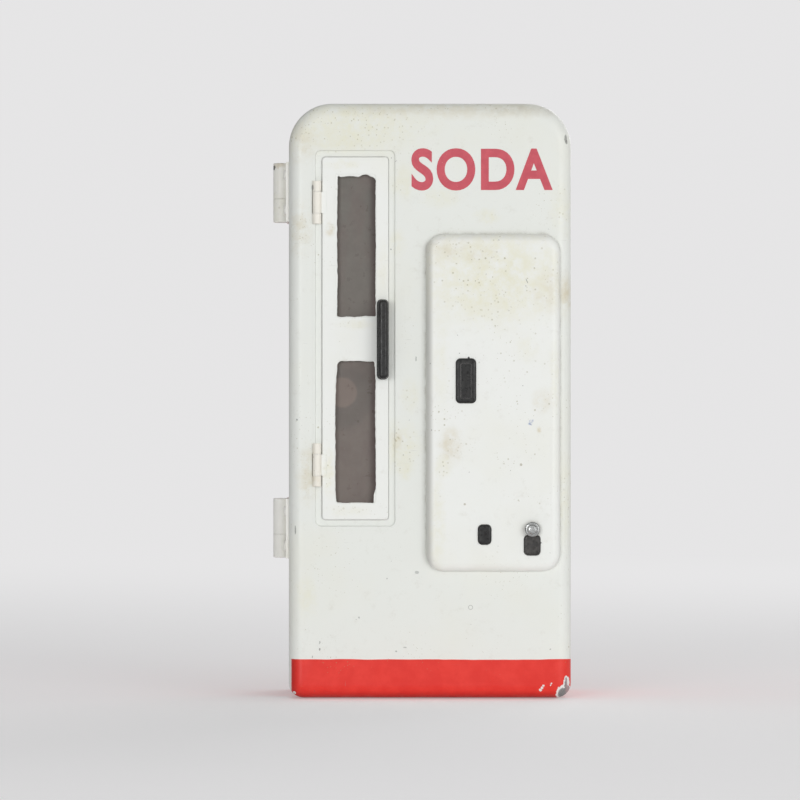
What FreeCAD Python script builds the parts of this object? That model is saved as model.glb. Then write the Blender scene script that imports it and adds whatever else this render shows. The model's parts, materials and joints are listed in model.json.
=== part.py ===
"""A die-cast miniature of an upright 1950s bottle vending machine, as separate pieces.

Frame, in millimetres: +Z is up, the front looks along -Y, +X is on the right of someone facing the front.
The origin is on the ground, under the middle of the closed case.

The case is two zinc castings, a cabinet and a full-height front door, joined by two external butt hinges
on the left. A narrow bottle door with two windows is set into the front door and swings on two small
knuckle hinges. A raised coin panel carries the coin slot, the coin return and the lock.
"""

import FreeCAD
import Part
import Sketcher

import math
import os
from types import SimpleNamespace

Vector = FreeCAD.Vector

SHEET_NAME = "dims"

# Driving dimensions: alias, value in millimetres (or a plain count), what it sets.
DIMENSIONS = [
    ("case_width", 27.4, "cabinet and front door, side to side"),
    ("case_height", 57.8, "ground to the top of the case"),
    ("case_depth", 16.4, "front face of the door to the back of the cabinet"),
    ("top_corner", 4.2, "radius of the case's upper corners, seen from the front"),
    ("foot_corner", 1.42, "radius of the case's lower corners, seen from the front"),
    ("front_round", 1.36, "rounding between the door's face and its sides"),
    ("rear_round", 0.8, "rounding between the cabinet's back and its sides"),
    ("case_wall", 1.2, "wall of the cabinet casting and of the door's sides"),
    ("door_depth", 4.2, "front door, face to parting line"),
    ("door_face", 1.5, "wall behind the front door's face"),
    ("door_lift", 0.08, "front door's clearance above the ground"),
    ("parting", 0.12, "gap between the front door and the cabinet"),
    ("fit_gap", 0.03, "gap round a part that is pushed into a hole"),
    ("loose_gap", 0.1, "gap round a lining or a cover in its casting"),
    # Bottle door.
    ("leaf_left", -10.45, "left edge of the bottle door"),
    ("leaf_right", -4.02, "right edge of the bottle door"),
    ("leaf_low", 17.4, "lower edge of the bottle door"),
    ("leaf_high", 52.55, "upper edge of the bottle door"),
    ("leaf_corner", 0.33, "corner radius of the bottle door"),
    ("leaf_thick", 0.9, "bottle door casting, front to back"),
    ("leaf_gap", 0.07, "gap round the bottle door"),
    ("leaf_play", 0.05, "gap between the bottle door and its stop"),
    ("leaf_round", 0.12, "rounding of the bottle door's front edge"),
    ("leaf_bevel", 0.3, "bevel of the bottle door's back edge, to clear the opening as it swings"),
    ("channel_wide", 0.59, "shallow channel round the bottle door's opening"),
    ("channel_corner", 0.55, "corner radius of that channel"),
    ("channel_deep", 0.2, "depth of that channel"),
    ("channel_round", 0.17, "rounding in the bottom of that channel"),
    ("stop_reach", 0.55, "how far the door stop reaches in behind the bottle door"),
    ("window_left", -9.2, "left edge of both windows"),
    ("window_right", -5.22, "right edge of both windows"),
    ("window_a_low", 37.0, "upper window, lower edge"),
    ("window_a_high", 50.9, "upper window, upper edge"),
    ("window_b_low", 19.0, "lower window, lower edge"),
    ("window_b_high", 32.8, "lower window, upper edge"),
    ("window_corner", 0.3, "corner radius of the windows"),
    ("pane_thick", 0.5, "smoked plastic window pane"),
    ("pane_margin", 0.55, "how far the pane reaches past the windows"),
    ("stake", 0.3, "radius of the cast posts that hold the pane"),
    ("stake_long", 0.7, "length of those posts"),
    ("stake_in", 0.6, "those posts, in from the sides of the windows"),
    # Small hinges of the bottle door.
    ("small_out", 0.5, "small hinge axis, left of the bottle door's edge"),
    ("small_proud", 0.02, "small hinge axis, in front of the door's face"),
    ("small_barrel", 0.42, "radius of the small hinge knuckles"),
    ("small_pocket", 0.48, "radius of the hollow behind a turning knuckle"),
    ("small_pin", 0.17, "radius of the small hinge pins"),
    ("small_tall", 4.15, "height of a small hinge"),
    ("small_end", 1.0, "height of each fixed knuckle of a small hinge"),
    ("small_high", 48.15, "middle of the upper small hinge, above the ground"),
    ("small_low", 22.7, "middle of the lower small hinge, above the ground"),
    ("web_back", 0.2, "knuckle web, behind the small hinge axis"),
    ("knuckle_gap", 0.04, "gap between the knuckles of one hinge"),
    ("running", 0.03, "radial clearance of a pin that turns"),
    # Main hinges.
    ("hinge_plate", 0.3, "thickness of a main hinge's leaf"),
    ("hinge_out", 0.82, "main hinge axis, outside the case's left side"),
    ("hinge_barrel", 0.77, "radius of the main hinge knuckles"),
    ("hinge_pin", 0.35, "radius of the main hinge pins"),
    ("hinge_tall", 5.8, "height of a main hinge"),
    ("hinge_upper_part", 3.5, "height of the knuckle on the front door"),
    ("hinge_reach", 3.0, "how far each leaf reaches from the hinge axis"),
    ("hinge_relief", 0.75, "how far a leaf stays back from the other leaf's knuckle"),
    ("hinge_high", 49.25, "middle of the upper main hinge, above the ground"),
    ("hinge_low", 16.5, "middle of the lower main hinge, above the ground"),
    ("hinge_edge", 0.12, "rounding at the ends of the main hinge knuckles"),
    ("rivet_away", 1.95, "hinge rivets, from the hinge axis"),
    ("rivet_spread", 1.7, "hinge rivets, above and below the hinge's middle"),
    ("rivet_shank", 0.25, "radius of the hinge rivets"),
    ("rivet_head", 0.5, "radius of a rivet's head"),
    ("rivet_dome", 0.24, "height of a rivet's head"),
    ("rivet_long", 1.1, "depth of a rivet in the casting"),
    # Coin panel.
    ("panel_left", -0.38, "left edge of the coin panel"),
    ("panel_right", 12.6, "right edge of the coin panel"),
    ("panel_low", 12.4, "lower edge of the coin panel"),
    ("panel_high", 45.1, "upper edge of the coin panel"),
    ("panel_proud", 1.05, "how far the coin panel stands out of the door's face"),
    ("panel_corner", 1.75, "corner radius of the coin panel"),
    ("panel_round", 0.86, "rounding of the coin panel's front edge"),
    ("peg", 0.6, "radius of the pegs that hold the coin panel"),
    ("peg_long", 2.0, "length of those pegs"),
    ("peg_in", 3.2, "those pegs, in from the panel's edges"),
    ("flange_wide", 0.35, "captive flange round a black insert"),
    ("flange_thick", 0.4, "thickness of that flange"),
    # Coin slot, coin return, lock.
    ("slot_left", 2.52, "coin slot, left edge"),
    ("slot_right", 4.44, "coin slot, right edge"),
    ("slot_low", 28.7, "coin slot, lower edge"),
    ("slot_high", 33.0, "coin slot, upper edge"),
    ("slot_rim", 0.46, "width of the coin slot's raised rim"),
    ("slot_sunk", 0.16, "depth of the field inside the rim"),
    ("return_left", 4.65, "coin return, left edge"),
    ("return_right", 5.92, "coin return, right edge"),
    ("return_low", 15.02, "coin return, lower edge"),
    ("return_high", 16.94, "coin return, upper edge"),
    ("plate_left", 9.1, "lock's escutcheon, left edge"),
    ("plate_right", 10.67, "lock's escutcheon, right edge"),
    ("plate_low", 13.98, "lock's escutcheon, lower edge"),
    ("plate_high", 15.95, "lock's escutcheon, upper edge"),
    ("insert_corner", 0.42, "corner radius of the black inserts"),
    ("insert_proud", 0.24, "how far a black insert stands out of the coin panel"),
    ("insert_round", 0.2, "rounding of a black insert's front edge"),
    ("lock_x", 9.89, "lock axis, from the case's middle"),
    ("lock_z", 16.5, "lock axis, above the ground"),
    ("lock_head", 0.73, "radius of the lock's flange"),
    ("lock_head_thick", 0.42, "thickness of the lock's flange"),
    ("lock_edge", 0.15, "rounding of the lock's front edges"),
    ("lock_boss", 0.46, "radius of the raised boss on the lock"),
    ("lock_boss_thick", 0.28, "height of that boss"),
    ("lock_lift", 0.3, "lock's flange, in front of the coin panel"),
    ("lock_shank", 0.35, "radius of the lock's shank"),
    # Pull handle.
    ("handle_left", -5.15, "left edge of the pull handle's base"),
    ("handle_right", -4.0, "right edge of the pull handle"),
    ("handle_low", 30.98, "lower end of the pull handle"),
    ("handle_high", 38.75, "upper end of the pull handle"),
    ("handle_corner", 0.45, "corner radius of the handle's base"),
    ("handle_base", 0.45, "thickness of the handle's base"),
    ("grip_left", -4.95, "left side of the handle's grip"),
    ("grip_proud", 1.6, "front of the grip, in front of the door's face"),
    ("grip_deep", 0.75, "thickness of the grip, front to back"),
    ("grip_post", 1.1, "height of the posts at the grip's ends"),
    ("grip_inset", 0.07, "grip's ends, in from the ends of the base"),
    ("grip_corner", 0.38, "corner radius of the grip's ends"),
    ("grip_round", 0.28, "rounding along the grip"),
    ("handle_peg", 0.25, "radius of the handle's two pegs"),
    ("handle_peg_in", 1.4, "those pegs, in from the handle's ends"),
    # Inside of the front door.
    ("liner_thick", 0.8, "door liner plate"),
    ("collar_wall", 0.45, "wall of the collar between liner and door face"),
    ("screw_boss", 0.95, "radius of the bosses for the small screws"),
    ("screw_shank", 0.28, "radius of the small screws"),
    ("screw_long", 1.6, "length of a small screw under its head"),
    ("screw_head", 0.62, "radius of a small screw's head"),
    ("screw_head_thick", 0.32, "height of a small screw's head"),
    ("screw_edge", 0.2, "rounding of a small screw's head"),
    ("screw_slot", 0.18, "width of a screw's driver slot"),
    ("screw_slot_deep", 0.18, "depth of a screw's driver slot"),
    ("liner_screw_x", 9.2, "door liner screws, from the case's middle"),
    ("liner_screw_low", 6.5, "lower door liner screws, above the ground"),
    ("liner_screw_high", 54.4, "upper door liner screws, above the ground"),
    ("strike", 1.45, "radius of the steel disc that meets the magnet"),
    ("strike_thick", 0.4, "thickness of that disc"),
    # Inside of the cabinet.
    ("catch_x", 10.5, "magnet catch, from the case's middle"),
    ("catch_z", 29.0, "magnet catch, above the ground"),
    ("magnet", 1.2, "radius of the catch magnet"),
    ("magnet_long", 1.7, "length of the catch magnet"),
    ("magnet_boss", 1.75, "half the height of the magnet's boss"),
    ("magnet_boss_deep", 2.2, "depth of the magnet's boss"),
    ("bay_low", 15.0, "underside of the bottle bay"),
    ("bay_front", 2.5, "front edge of the bay, behind the parting line"),
    ("bay_wall", 0.5, "wall of the bay's lining"),
    ("bay_corner", 2.9, "radius of the lining's upper corners"),
    ("ledge_wide", 1.5, "cast ledges under the bay"),
    ("ledge_tall", 0.8, "height of those ledges"),
    ("bay_screw_x", 6.5, "bay screws, from the case's middle"),
    ("bay_screw_z", 54.2, "bay screws, above the ground"),
    ("rack_left", -9.85, "outer face of the rack's left cheek"),
    ("rack_right", 8.5, "outer face of the rack's right cheek"),
    ("rack_high", 52.6, "top of the rack's cheeks"),
    ("rack_back", 0.4, "rack, in front of the cabinet's back lining"),
    ("rack_front", 0.3, "rack, behind the parting line"),
    ("cheek_thick", 0.5, "thickness of the rack's cheeks"),
    ("shelf_thick", 0.35, "thickness of a shelf"),
    ("shelf_rise", 1.0, "rise of a shelf from its left end to its right"),
    ("shelf_first", 16.7, "top of the first shelf's left end, above the ground"),
    ("shelf_pitch", 3.9, "height from shelf to shelf"),
    ("shelf_count", 9, "number of shelves"),
    ("bottle", 1.2, "radius of a bottle's body"),
    ("bottle_play", 0.03, "gap between a bottle and what it lies on"),
    ("bottle_pitch", 2.48, "spacing of the bottles on a shelf"),
    ("bottle_front", 0.7, "bottle mouths, behind the parting line"),
    ("bottle_long", 8.0, "length of a bottle without its cap"),
    ("shoulder_start", 2.3, "bottle mouth to the top of the shoulder"),
    ("shoulder_end", 4.1, "bottle mouth to the bottom of the shoulder"),
    ("neck", 0.4, "radius of a bottle's neck at the mouth"),
    ("neck_low", 0.52, "radius of a bottle's neck at the shoulder"),
    ("heel", 0.25, "bevel round a bottle's foot"),
    ("crown", 0.58, "radius of a crown cap's rim"),
    ("crown_top", 0.48, "radius of a crown cap's top"),
    ("crown_thick", 0.14, "thickness of a crown cap's top"),
    ("crown_skirt", 0.34, "depth of a crown cap's skirt over the mouth"),
    # Base plate and rear cover.
    ("plate_thick", 0.5, "base plate"),
    ("plate_inset", 1.9, "edge of the base plate, inside the cabinet's outline"),
    ("plate_corner", 1.5, "corner radius of the base plate"),
    ("base_boss_tall", 1.3, "height of the bosses over the base screws"),
    ("base_screw_x", 8.0, "base screws, from the case's middle"),
    ("base_screw_y", 2.0, "base screws, behind the case's middle"),
    ("cover_half", 10.4, "half the width of the rear cover"),
    ("cover_low", 2.6, "lower edge of the rear cover"),
    ("cover_high", 14.6, "upper edge of the rear cover"),
    ("cover_thick", 0.5, "rear cover"),
    ("cover_corner", 0.8, "corner radius of the rear cover"),
    ("cover_border", 1.6, "border of the rear cover that lies on the casting"),
    ("cover_screw_in", 0.85, "rear cover screws, in from the cover's edges"),
    ("cover_boss_long", 1.1, "length of the bosses for the rear cover's screws"),
    ("louvre_half", 7.2, "half the length of a louvre"),
    ("louvre_first", 4.7, "lower edge of the first louvre slot, above the ground"),
    ("louvre_tall", 0.8, "height of a louvre slot"),
    ("louvre_pitch", 1.6, "height from louvre to louvre"),
    ("louvre_count", 5, "number of louvres"),
    ("hood_out", 0.45, "how far a louvre's hood stands out"),
    ("hood_thick", 0.2, "thickness of a louvre's hood"),
]


class Length:
    """A number together with the sheet expression that gives it."""

    def __init__(self, text, value):
        self.text = text
        self.value = value

    def _joined(self, sign, other, value):
        return Length(f"({self.text} {sign} {as_length(other).text})", value)

    def __add__(self, other):
        return self._joined("+", other, self.value + as_length(other).value)

    def __sub__(self, other):
        return self._joined("-", other, self.value - as_length(other).value)

    def __mul__(self, other):
        return self._joined("*", other, self.value * as_length(other).value)

    def __truediv__(self, other):
        return self._joined("/", other, self.value / as_length(other).value)

    def __neg__(self):
        return self * -1


def as_length(number):
    """A plain number as a Length whose expression is the number itself."""
    if isinstance(number, Length):
        return number
    return Length(f"({number})", number)


def make_sheet(document):
    """The spreadsheet of driving dimensions, and its cells as Lengths."""
    sheet = document.addObject("Spreadsheet::Sheet", SHEET_NAME)
    cells = {}
    for row, (alias, value, note) in enumerate(DIMENSIONS, start=1):
        sheet.set(f"A{row}", alias)
        sheet.set(f"B{row}", str(value))
        sheet.set(f"C{row}", note)
        sheet.setAlias(f"B{row}", alias)
        cells[alias] = Length(f"{SHEET_NAME}.{alias}", value)
    document.recompute()
    return SimpleNamespace(**cells)


document = FreeCAD.newDocument("vending_machine")
d = make_sheet(document)


# ---------------------------------------------------------------- places that several pieces share

NONE = as_length(0)
GROUND = NONE
FRONT = -d.case_depth / 2
REAR = d.case_depth / 2
HALF_WIDTH = d.case_width / 2
DOOR_BACK = FRONT + d.door_depth
CABINET_FRONT = DOOR_BACK + d.parting
FACE_BACK = FRONT + d.door_face
LEAF_BACK = FRONT + d.leaf_thick
STOP_FRONT = LEAF_BACK + d.leaf_play
PANE_BACK = LEAF_BACK + d.pane_thick
PANEL_FRONT = FRONT - d.panel_proud
LINER_FRONT = DOOR_BACK - d.liner_thick
BACK_WALL = REAR - d.case_wall
BAY_FRONT = DOOR_BACK + d.bay_front
BAY_BACK = BACK_WALL - d.loose_gap
LINER_SIDE = HALF_WIDTH - d.case_wall - d.loose_gap
LINER_TOP = d.case_height - d.case_wall - d.loose_gap
INNER_CORNER = d.top_corner - d.case_wall

HINGE_X = -HALF_WIDTH - d.hinge_out
HINGE_Y = DOOR_BACK + d.parting / 2
HINGE_LEAF_OUTSIDE = -HALF_WIDTH - d.hinge_plate
HINGE_HEIGHTS = {"upper": d.hinge_high, "lower": d.hinge_low}

SMALL_X = d.leaf_left - d.small_out
SMALL_Y = FRONT - d.small_proud
SMALL_HEIGHTS = {"upper": d.small_high, "lower": d.small_low}

RACK_FRONT = CABINET_FRONT + d.rack_front
RACK_BACK = BAY_BACK - d.bay_wall - d.rack_back
SHELF_LEFT = d.rack_left + d.cheek_thick
SHELF_RIGHT = d.rack_right - d.cheek_thick
SHELF_GRADE = d.shelf_rise / (SHELF_RIGHT - SHELF_LEFT)
MOUTH = CABINET_FRONT + d.bottle_front

OPENING = SimpleNamespace(
    left=d.leaf_left - d.leaf_gap,
    right=d.leaf_right + d.leaf_gap,
    low=d.leaf_low - d.leaf_gap,
    high=d.leaf_high + d.leaf_gap,
)
PASSAGE = SimpleNamespace(
    left=OPENING.left + d.stop_reach,
    right=OPENING.right - d.stop_reach,
    low=OPENING.low + d.stop_reach,
    high=OPENING.high - d.stop_reach,
)
WINDOWS = [
    (d.window_left, d.window_right, d.window_a_low, d.window_a_high),
    (d.window_left, d.window_right, d.window_b_low, d.window_b_high),
]
STAKE_HEIGHT = (d.window_a_low + d.window_b_high) / 2
STAKES = [
    (d.window_left + d.stake_in, STAKE_HEIGHT),
    (d.window_right - d.stake_in, STAKE_HEIGHT),
]
HANDLE_MIDDLE = (d.window_right + d.leaf_right) / 2
HANDLE_PEGS = [
    (HANDLE_MIDDLE, d.handle_low + d.handle_peg_in),
    (HANDLE_MIDDLE, d.handle_high - d.handle_peg_in),
]
PANEL_PEGS = [
    (d.panel_left + d.peg_in, d.panel_high - d.peg_in),
    (d.panel_right - d.peg_in, d.panel_high - d.peg_in),
    (d.panel_left + d.peg_in, d.panel_low + d.peg_in * 2),
]
LINER_SCREWS = [
    (-d.liner_screw_x, d.liner_screw_low),
    (d.liner_screw_x, d.liner_screw_low),
    (-d.liner_screw_x, d.liner_screw_high),
    (d.liner_screw_x, d.liner_screw_high),
]
BAY_SCREWS = [(-d.bay_screw_x, d.bay_screw_z), (d.bay_screw_x, d.bay_screw_z)]
BASE_SCREWS = [(-d.base_screw_x, d.base_screw_y), (d.base_screw_x, d.base_screw_y)]
COVER_SCREWS = [
    (side, level)
    for side in (-d.cover_half + d.cover_screw_in, d.cover_half - d.cover_screw_in)
    for level in (d.cover_low + d.cover_screw_in, d.cover_high - d.cover_screw_in)
]
LOCK = [(d.lock_x, d.lock_z)]
CATCH = [(d.catch_x, d.catch_z)]


def rivet_places(side):
    """Rivet centres (y, z) of both main hinges, before (-1) or behind (1) the hinge axis."""
    return [
        (HINGE_Y + d.rivet_away * side, middle + d.rivet_spread * level)
        for middle in HINGE_HEIGHTS.values()
        for level in (-1, 1)
    ]


# ---------------------------------------------------------------- drawing in a sketch

def at(sketch, geometry, point, x, y):
    """Tie a point of the sketch to driven coordinates."""
    for kind, length in (("DistanceX", x), ("DistanceY", y)):
        if length is not None:
            constraint = Sketcher.Constraint(kind, -1, 1, geometry, point, length.value)
            index = sketch.addConstraint(constraint)
            sketch.setExpression(f"Constraints[{index}]", length.text)


def polygon(points):
    """A drawing of straight lines through driven points."""
    corners = [(as_length(x), as_length(y)) for x, y in points]

    def draw(sketch):
        first = sketch.GeometryCount
        count = len(corners)
        for index, (x, y) in enumerate(corners):
            next_x, next_y = corners[(index + 1) % count]
            start = Vector(x.value, y.value, 0)
            end = Vector(next_x.value, next_y.value, 0)
            sketch.addGeometry(Part.LineSegment(start, end), False)
        for index, (x, y) in enumerate(corners):
            following = first + (index + 1) % count
            sketch.addConstraint(Sketcher.Constraint("Coincident", first + index, 2, following, 1))
            at(sketch, first + index, 1, x, y)

    return draw


def box(left, right, low, high):
    """A drawing of a rectangle."""
    return polygon([(left, low), (right, low), (right, high), (left, high)])


def rounded_box(left, right, low, high, low_corner, high_corner):
    """A drawing of a rectangle with two radii, one for its lower and one for its upper corners."""

    def draw(sketch):
        first = sketch.GeometryCount
        r_low = low_corner.value
        r_high = high_corner.value
        corners = [
            (left.value + r_low, low.value + r_low, r_low, 180),
            (right.value - r_low, low.value + r_low, r_low, 270),
            (right.value - r_high, high.value - r_high, r_high, 0),
            (left.value + r_high, high.value - r_high, r_high, 90),
        ]
        arcs = []
        for x, y, radius, start in corners:
            circle = Part.Circle(Vector(x, y, 0), Vector(0, 0, 1), radius)
            arcs.append(Part.ArcOfCircle(circle, math.radians(start), math.radians(start + 90)))
        for arc in arcs:
            sketch.addGeometry(arc, False)
        for index, arc in enumerate(arcs):
            line = Part.LineSegment(arc.EndPoint, arcs[(index + 1) % 4].StartPoint)
            sketch.addGeometry(line, False)
        for index in range(4):
            arc = first + index
            line = first + 4 + index
            following = first + (index + 1) % 4
            direction = "Horizontal" if index % 2 == 0 else "Vertical"
            sketch.addConstraint(Sketcher.Constraint("Tangent", arc, 2, line, 1))
            sketch.addConstraint(Sketcher.Constraint("Tangent", line, 2, following, 1))
            sketch.addConstraint(Sketcher.Constraint(direction, line))
            radius = low_corner if index < 2 else high_corner
            number = sketch.addConstraint(Sketcher.Constraint("Radius", arc, radius.value))
            sketch.setExpression(f"Constraints[{number}]", radius.text)
        at(sketch, first + 4, 1, None, low)
        at(sketch, first + 5, 1, right, None)
        at(sketch, first + 6, 1, None, high)
        at(sketch, first + 7, 1, left, None)

    return draw


def circles(centres, radius):
    """A drawing of equal circles round driven centres."""

    def draw(sketch):
        for x, y in centres:
            centre = Vector(x.value, y.value, 0)
            circle = sketch.addGeometry(Part.Circle(centre, Vector(0, 0, 1), radius.value), False)
            at(sketch, circle, 3, x, y)
            number = sketch.addConstraint(Sketcher.Constraint("Radius", circle, radius.value))
            sketch.setExpression(f"Constraints[{number}]", radius.text)

    return draw


def several(*drawings):
    """One drawing made of several."""

    def draw(sketch):
        for drawing in drawings:
            drawing(sketch)

    return draw


# ---------------------------------------------------------------- features of a body

PLANES = {"x": ("YZ_Plane", 1), "y": ("XZ_Plane", -1), "z": ("XY_Plane", 1)}


def new_body(name):
    """An empty body whose label is the piece's name."""
    body = document.addObject("PartDesign::Body", name)
    body.Label = name
    body.Placement = FreeCAD.Placement()
    return body


def new_sketch(body, name, axis, position):
    """A sketch square to one axis, at a driven position along it."""
    role, sign = PLANES[axis]
    plane = [feature for feature in body.Origin.OriginFeatures if feature.Role == role][0]
    offset = as_length(position) * sign
    sketch = body.newObject("Sketcher::SketchObject", name)
    sketch.AttachmentSupport = (plane, [""])
    sketch.MapMode = "FlatFace"
    sketch.AttachmentOffset = FreeCAD.Placement(Vector(0, 0, offset.value), FreeCAD.Rotation())
    sketch.setExpression("AttachmentOffset.Base.z", offset.text)
    return sketch


def extrude(body, name, axis, start, stop, drawing, cut=False):
    """Add, or cut away, a drawing between two positions along an axis."""
    sketch = new_sketch(body, f"{body.Name}_{name}_outline", axis, start)
    drawing(sketch)
    length = as_length(stop) - start
    kind = "PartDesign::Pocket" if cut else "PartDesign::Pad"
    feature = body.newObject(kind, f"{body.Name}_{name}")
    feature.Profile = sketch
    feature.Length = length.value
    feature.setExpression("Length", length.text)
    feature.Reversed = (axis == "y") != cut
    sketch.Visibility = False
    return feature


def cut_away(body, name, axis, start, stop, drawing):
    """Cut a drawing away between two positions along an axis."""
    return extrude(body, name, axis, start, stop, drawing, cut=True)


def spin(body, name, centre, profile):
    """A solid of revolution about a line along Y; the profile is (radius, y) points."""
    x, z = centre
    sketch = new_sketch(body, f"{body.Name}_{name}_profile", "z", z)
    axis = sketch.addGeometry(Part.LineSegment(Vector(x.value, -1, 0), Vector(x.value, 1, 0)), True)
    at(sketch, axis, 1, x, as_length(-1))
    at(sketch, axis, 2, x, as_length(1))
    polygon([(x + radius, y) for radius, y in profile])(sketch)
    feature = body.newObject("PartDesign::Revolution", f"{body.Name}_{name}")
    feature.Profile = sketch
    feature.ReferenceAxis = (sketch, ["Axis0"])
    feature.Angle = 360
    sketch.Visibility = False
    return feature


def repeat_upwards(body, name, features, pitch, count):
    """Copies of some features, one above the other."""
    sketch = features[0].Profile[0]
    pattern = body.newObject("PartDesign::LinearPattern", f"{body.Name}_{name}")
    pattern.Originals = features
    direction = "V_Axis" if sketch.AttachmentSupport[0][0].Role != "XY_Plane" else "N_Axis"
    pattern.Direction = (sketch, [direction])
    span = pitch * (count - 1)
    pattern.Length = span.value
    pattern.setExpression("Length", span.text)
    pattern.Occurrences = int(count.value)
    pattern.setExpression("Occurrences", count.text)
    body.Tip = pattern
    return pattern


def dress_edges(body, kind, name, size_property, size, chosen):
    """Dress those edges of the body so far that `chosen` picks."""
    document.recompute()
    base = body.Tip
    edges = [
        f"Edge{number}"
        for number, edge in enumerate(base.Shape.Edges, start=1)
        if chosen(edge.BoundBox)
    ]
    if not edges:
        raise RuntimeError(f"{body.Label}: {name} picks no edge")
    feature = body.newObject(kind, f"{body.Name}_{name}")
    feature.Base = (base, edges)
    setattr(feature, size_property, size.value)
    feature.setExpression(size_property, size.text)
    return feature


def round_edges(body, name, radius, chosen):
    """Round the chosen edges."""
    return dress_edges(body, "PartDesign::Fillet", name, "Radius", radius, chosen)


def bevel_edges(body, name, size, chosen):
    """Bevel the chosen edges equally on both faces."""
    return dress_edges(body, "PartDesign::Chamfer", name, "Size", size, chosen)


def in_plane(axis, position, slack=0.004):
    """Picks edges that lie in the plane square to an axis at a position."""
    letter = axis.upper()

    def chosen(bounds):
        low = getattr(bounds, f"{letter}Min")
        high = getattr(bounds, f"{letter}Max")
        return abs(low - position.value) < slack and abs(high - position.value) < slack

    return chosen


def case_outline(low):
    """The case's outline seen from the front, with its lower edge at a height."""
    return rounded_box(-HALF_WIDTH, HALF_WIDTH, low, d.case_height, d.foot_corner, d.top_corner)


def cavity_outline(low):
    """The inside of a case casting seen from the front."""
    return rounded_box(
        -HALF_WIDTH + d.case_wall, HALF_WIDTH - d.case_wall,
        low + d.case_wall, d.case_height - d.case_wall,
        d.insert_corner, INNER_CORNER,
    )


# ---------------------------------------------------------------- the front door

def make_door_shell():
    """The front door's casting: a shallow tray with the bottle door's opening and fixed knuckles."""
    shell = new_body("door_shell")
    extrude(shell, "blank", "y", FRONT, DOOR_BACK, case_outline(d.door_lift))
    round_edges(shell, "face_round", d.front_round, in_plane("y", FRONT))
    cut_away(shell, "hollow", "y", FACE_BACK, DOOR_BACK, cavity_outline(d.door_lift))
    channel = rounded_box(
        OPENING.left - d.channel_wide, OPENING.right + d.channel_wide,
        OPENING.low - d.channel_wide, OPENING.high + d.channel_wide,
        d.channel_corner, d.channel_corner,
    )
    channel_bottom = FRONT + d.channel_deep
    cut_away(shell, "channel", "y", FRONT, channel_bottom, channel)
    round_edges(shell, "channel_round", d.channel_round, in_plane("y", channel_bottom))
    opening_corner = d.leaf_corner + d.leaf_gap
    opening = rounded_box(OPENING.left, OPENING.right, OPENING.low, OPENING.high,
                          opening_corner, opening_corner)
    passage = box(PASSAGE.left, PASSAGE.right, PASSAGE.low, PASSAGE.high)
    cut_away(shell, "opening", "y", FRONT, STOP_FRONT, opening)
    cut_away(shell, "passage", "y", FRONT, FACE_BACK, passage)
    extrude(shell, "bosses", "y", FACE_BACK, LINER_FRONT, circles(LINER_SCREWS, d.screw_boss))
    hole_bottom = FACE_BACK + d.screw_slot
    cut_away(shell, "screw_holes", "y", hole_bottom, LINER_FRONT, circles(LINER_SCREWS, d.screw_shank))
    cut_away(shell, "peg_holes", "y", FRONT, FACE_BACK, circles(PANEL_PEGS, d.peg + d.fit_gap))
    cut_away(shell, "lock_hole", "y", FRONT, FACE_BACK, circles(LOCK, d.lock_shank))
    cut_away(shell, "rivet_holes", "x", -HALF_WIDTH, -HALF_WIDTH + d.rivet_long,
             circles(rivet_places(-1), d.rivet_shank))
    axis = [(SMALL_X, SMALL_Y)]
    for level, middle in SMALL_HEIGHTS.items():
        low = middle - d.small_tall / 2
        high = middle + d.small_tall / 2
        knuckle = circles(axis, d.small_barrel)
        extrude(shell, f"{level}_lower_knuckle", "z", low, low + d.small_end, knuckle)
        extrude(shell, f"{level}_upper_knuckle", "z", high - d.small_end, high, knuckle)
        cut_away(shell, f"{level}_knuckle_pocket", "z", low + d.small_end, high - d.small_end,
                 circles(axis, d.small_pocket))
        cut_away(shell, f"{level}_pin_hole", "z", low, high, circles(axis, d.small_pin))
    return shell


def make_coin_panel():
    """The raised panel on the right of the front door, pierced for its fittings."""
    panel = new_body("coin_panel")
    blank = rounded_box(d.panel_left, d.panel_right, d.panel_low, d.panel_high,
                        d.panel_corner, d.panel_corner)
    extrude(panel, "plate", "y", PANEL_FRONT, FRONT, blank)
    round_edges(panel, "front_round", d.panel_round, in_plane("y", PANEL_FRONT))
    extrude(panel, "pegs", "y", FRONT, FRONT + d.peg_long, circles(PANEL_PEGS, d.peg))
    holes = several(*[insert.hole(d.fit_gap) for insert in INSERTS])
    flanges = several(*[insert.flange(d.fit_gap) for insert in INSERTS])
    cut_away(panel, "insert_holes", "y", PANEL_FRONT, FRONT, holes)
    cut_away(panel, "flange_recesses", "y", FRONT - d.flange_thick, FRONT, flanges)
    cut_away(panel, "lock_hole", "y", PANEL_FRONT, FRONT, circles(LOCK, d.lock_shank))
    return panel


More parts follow.
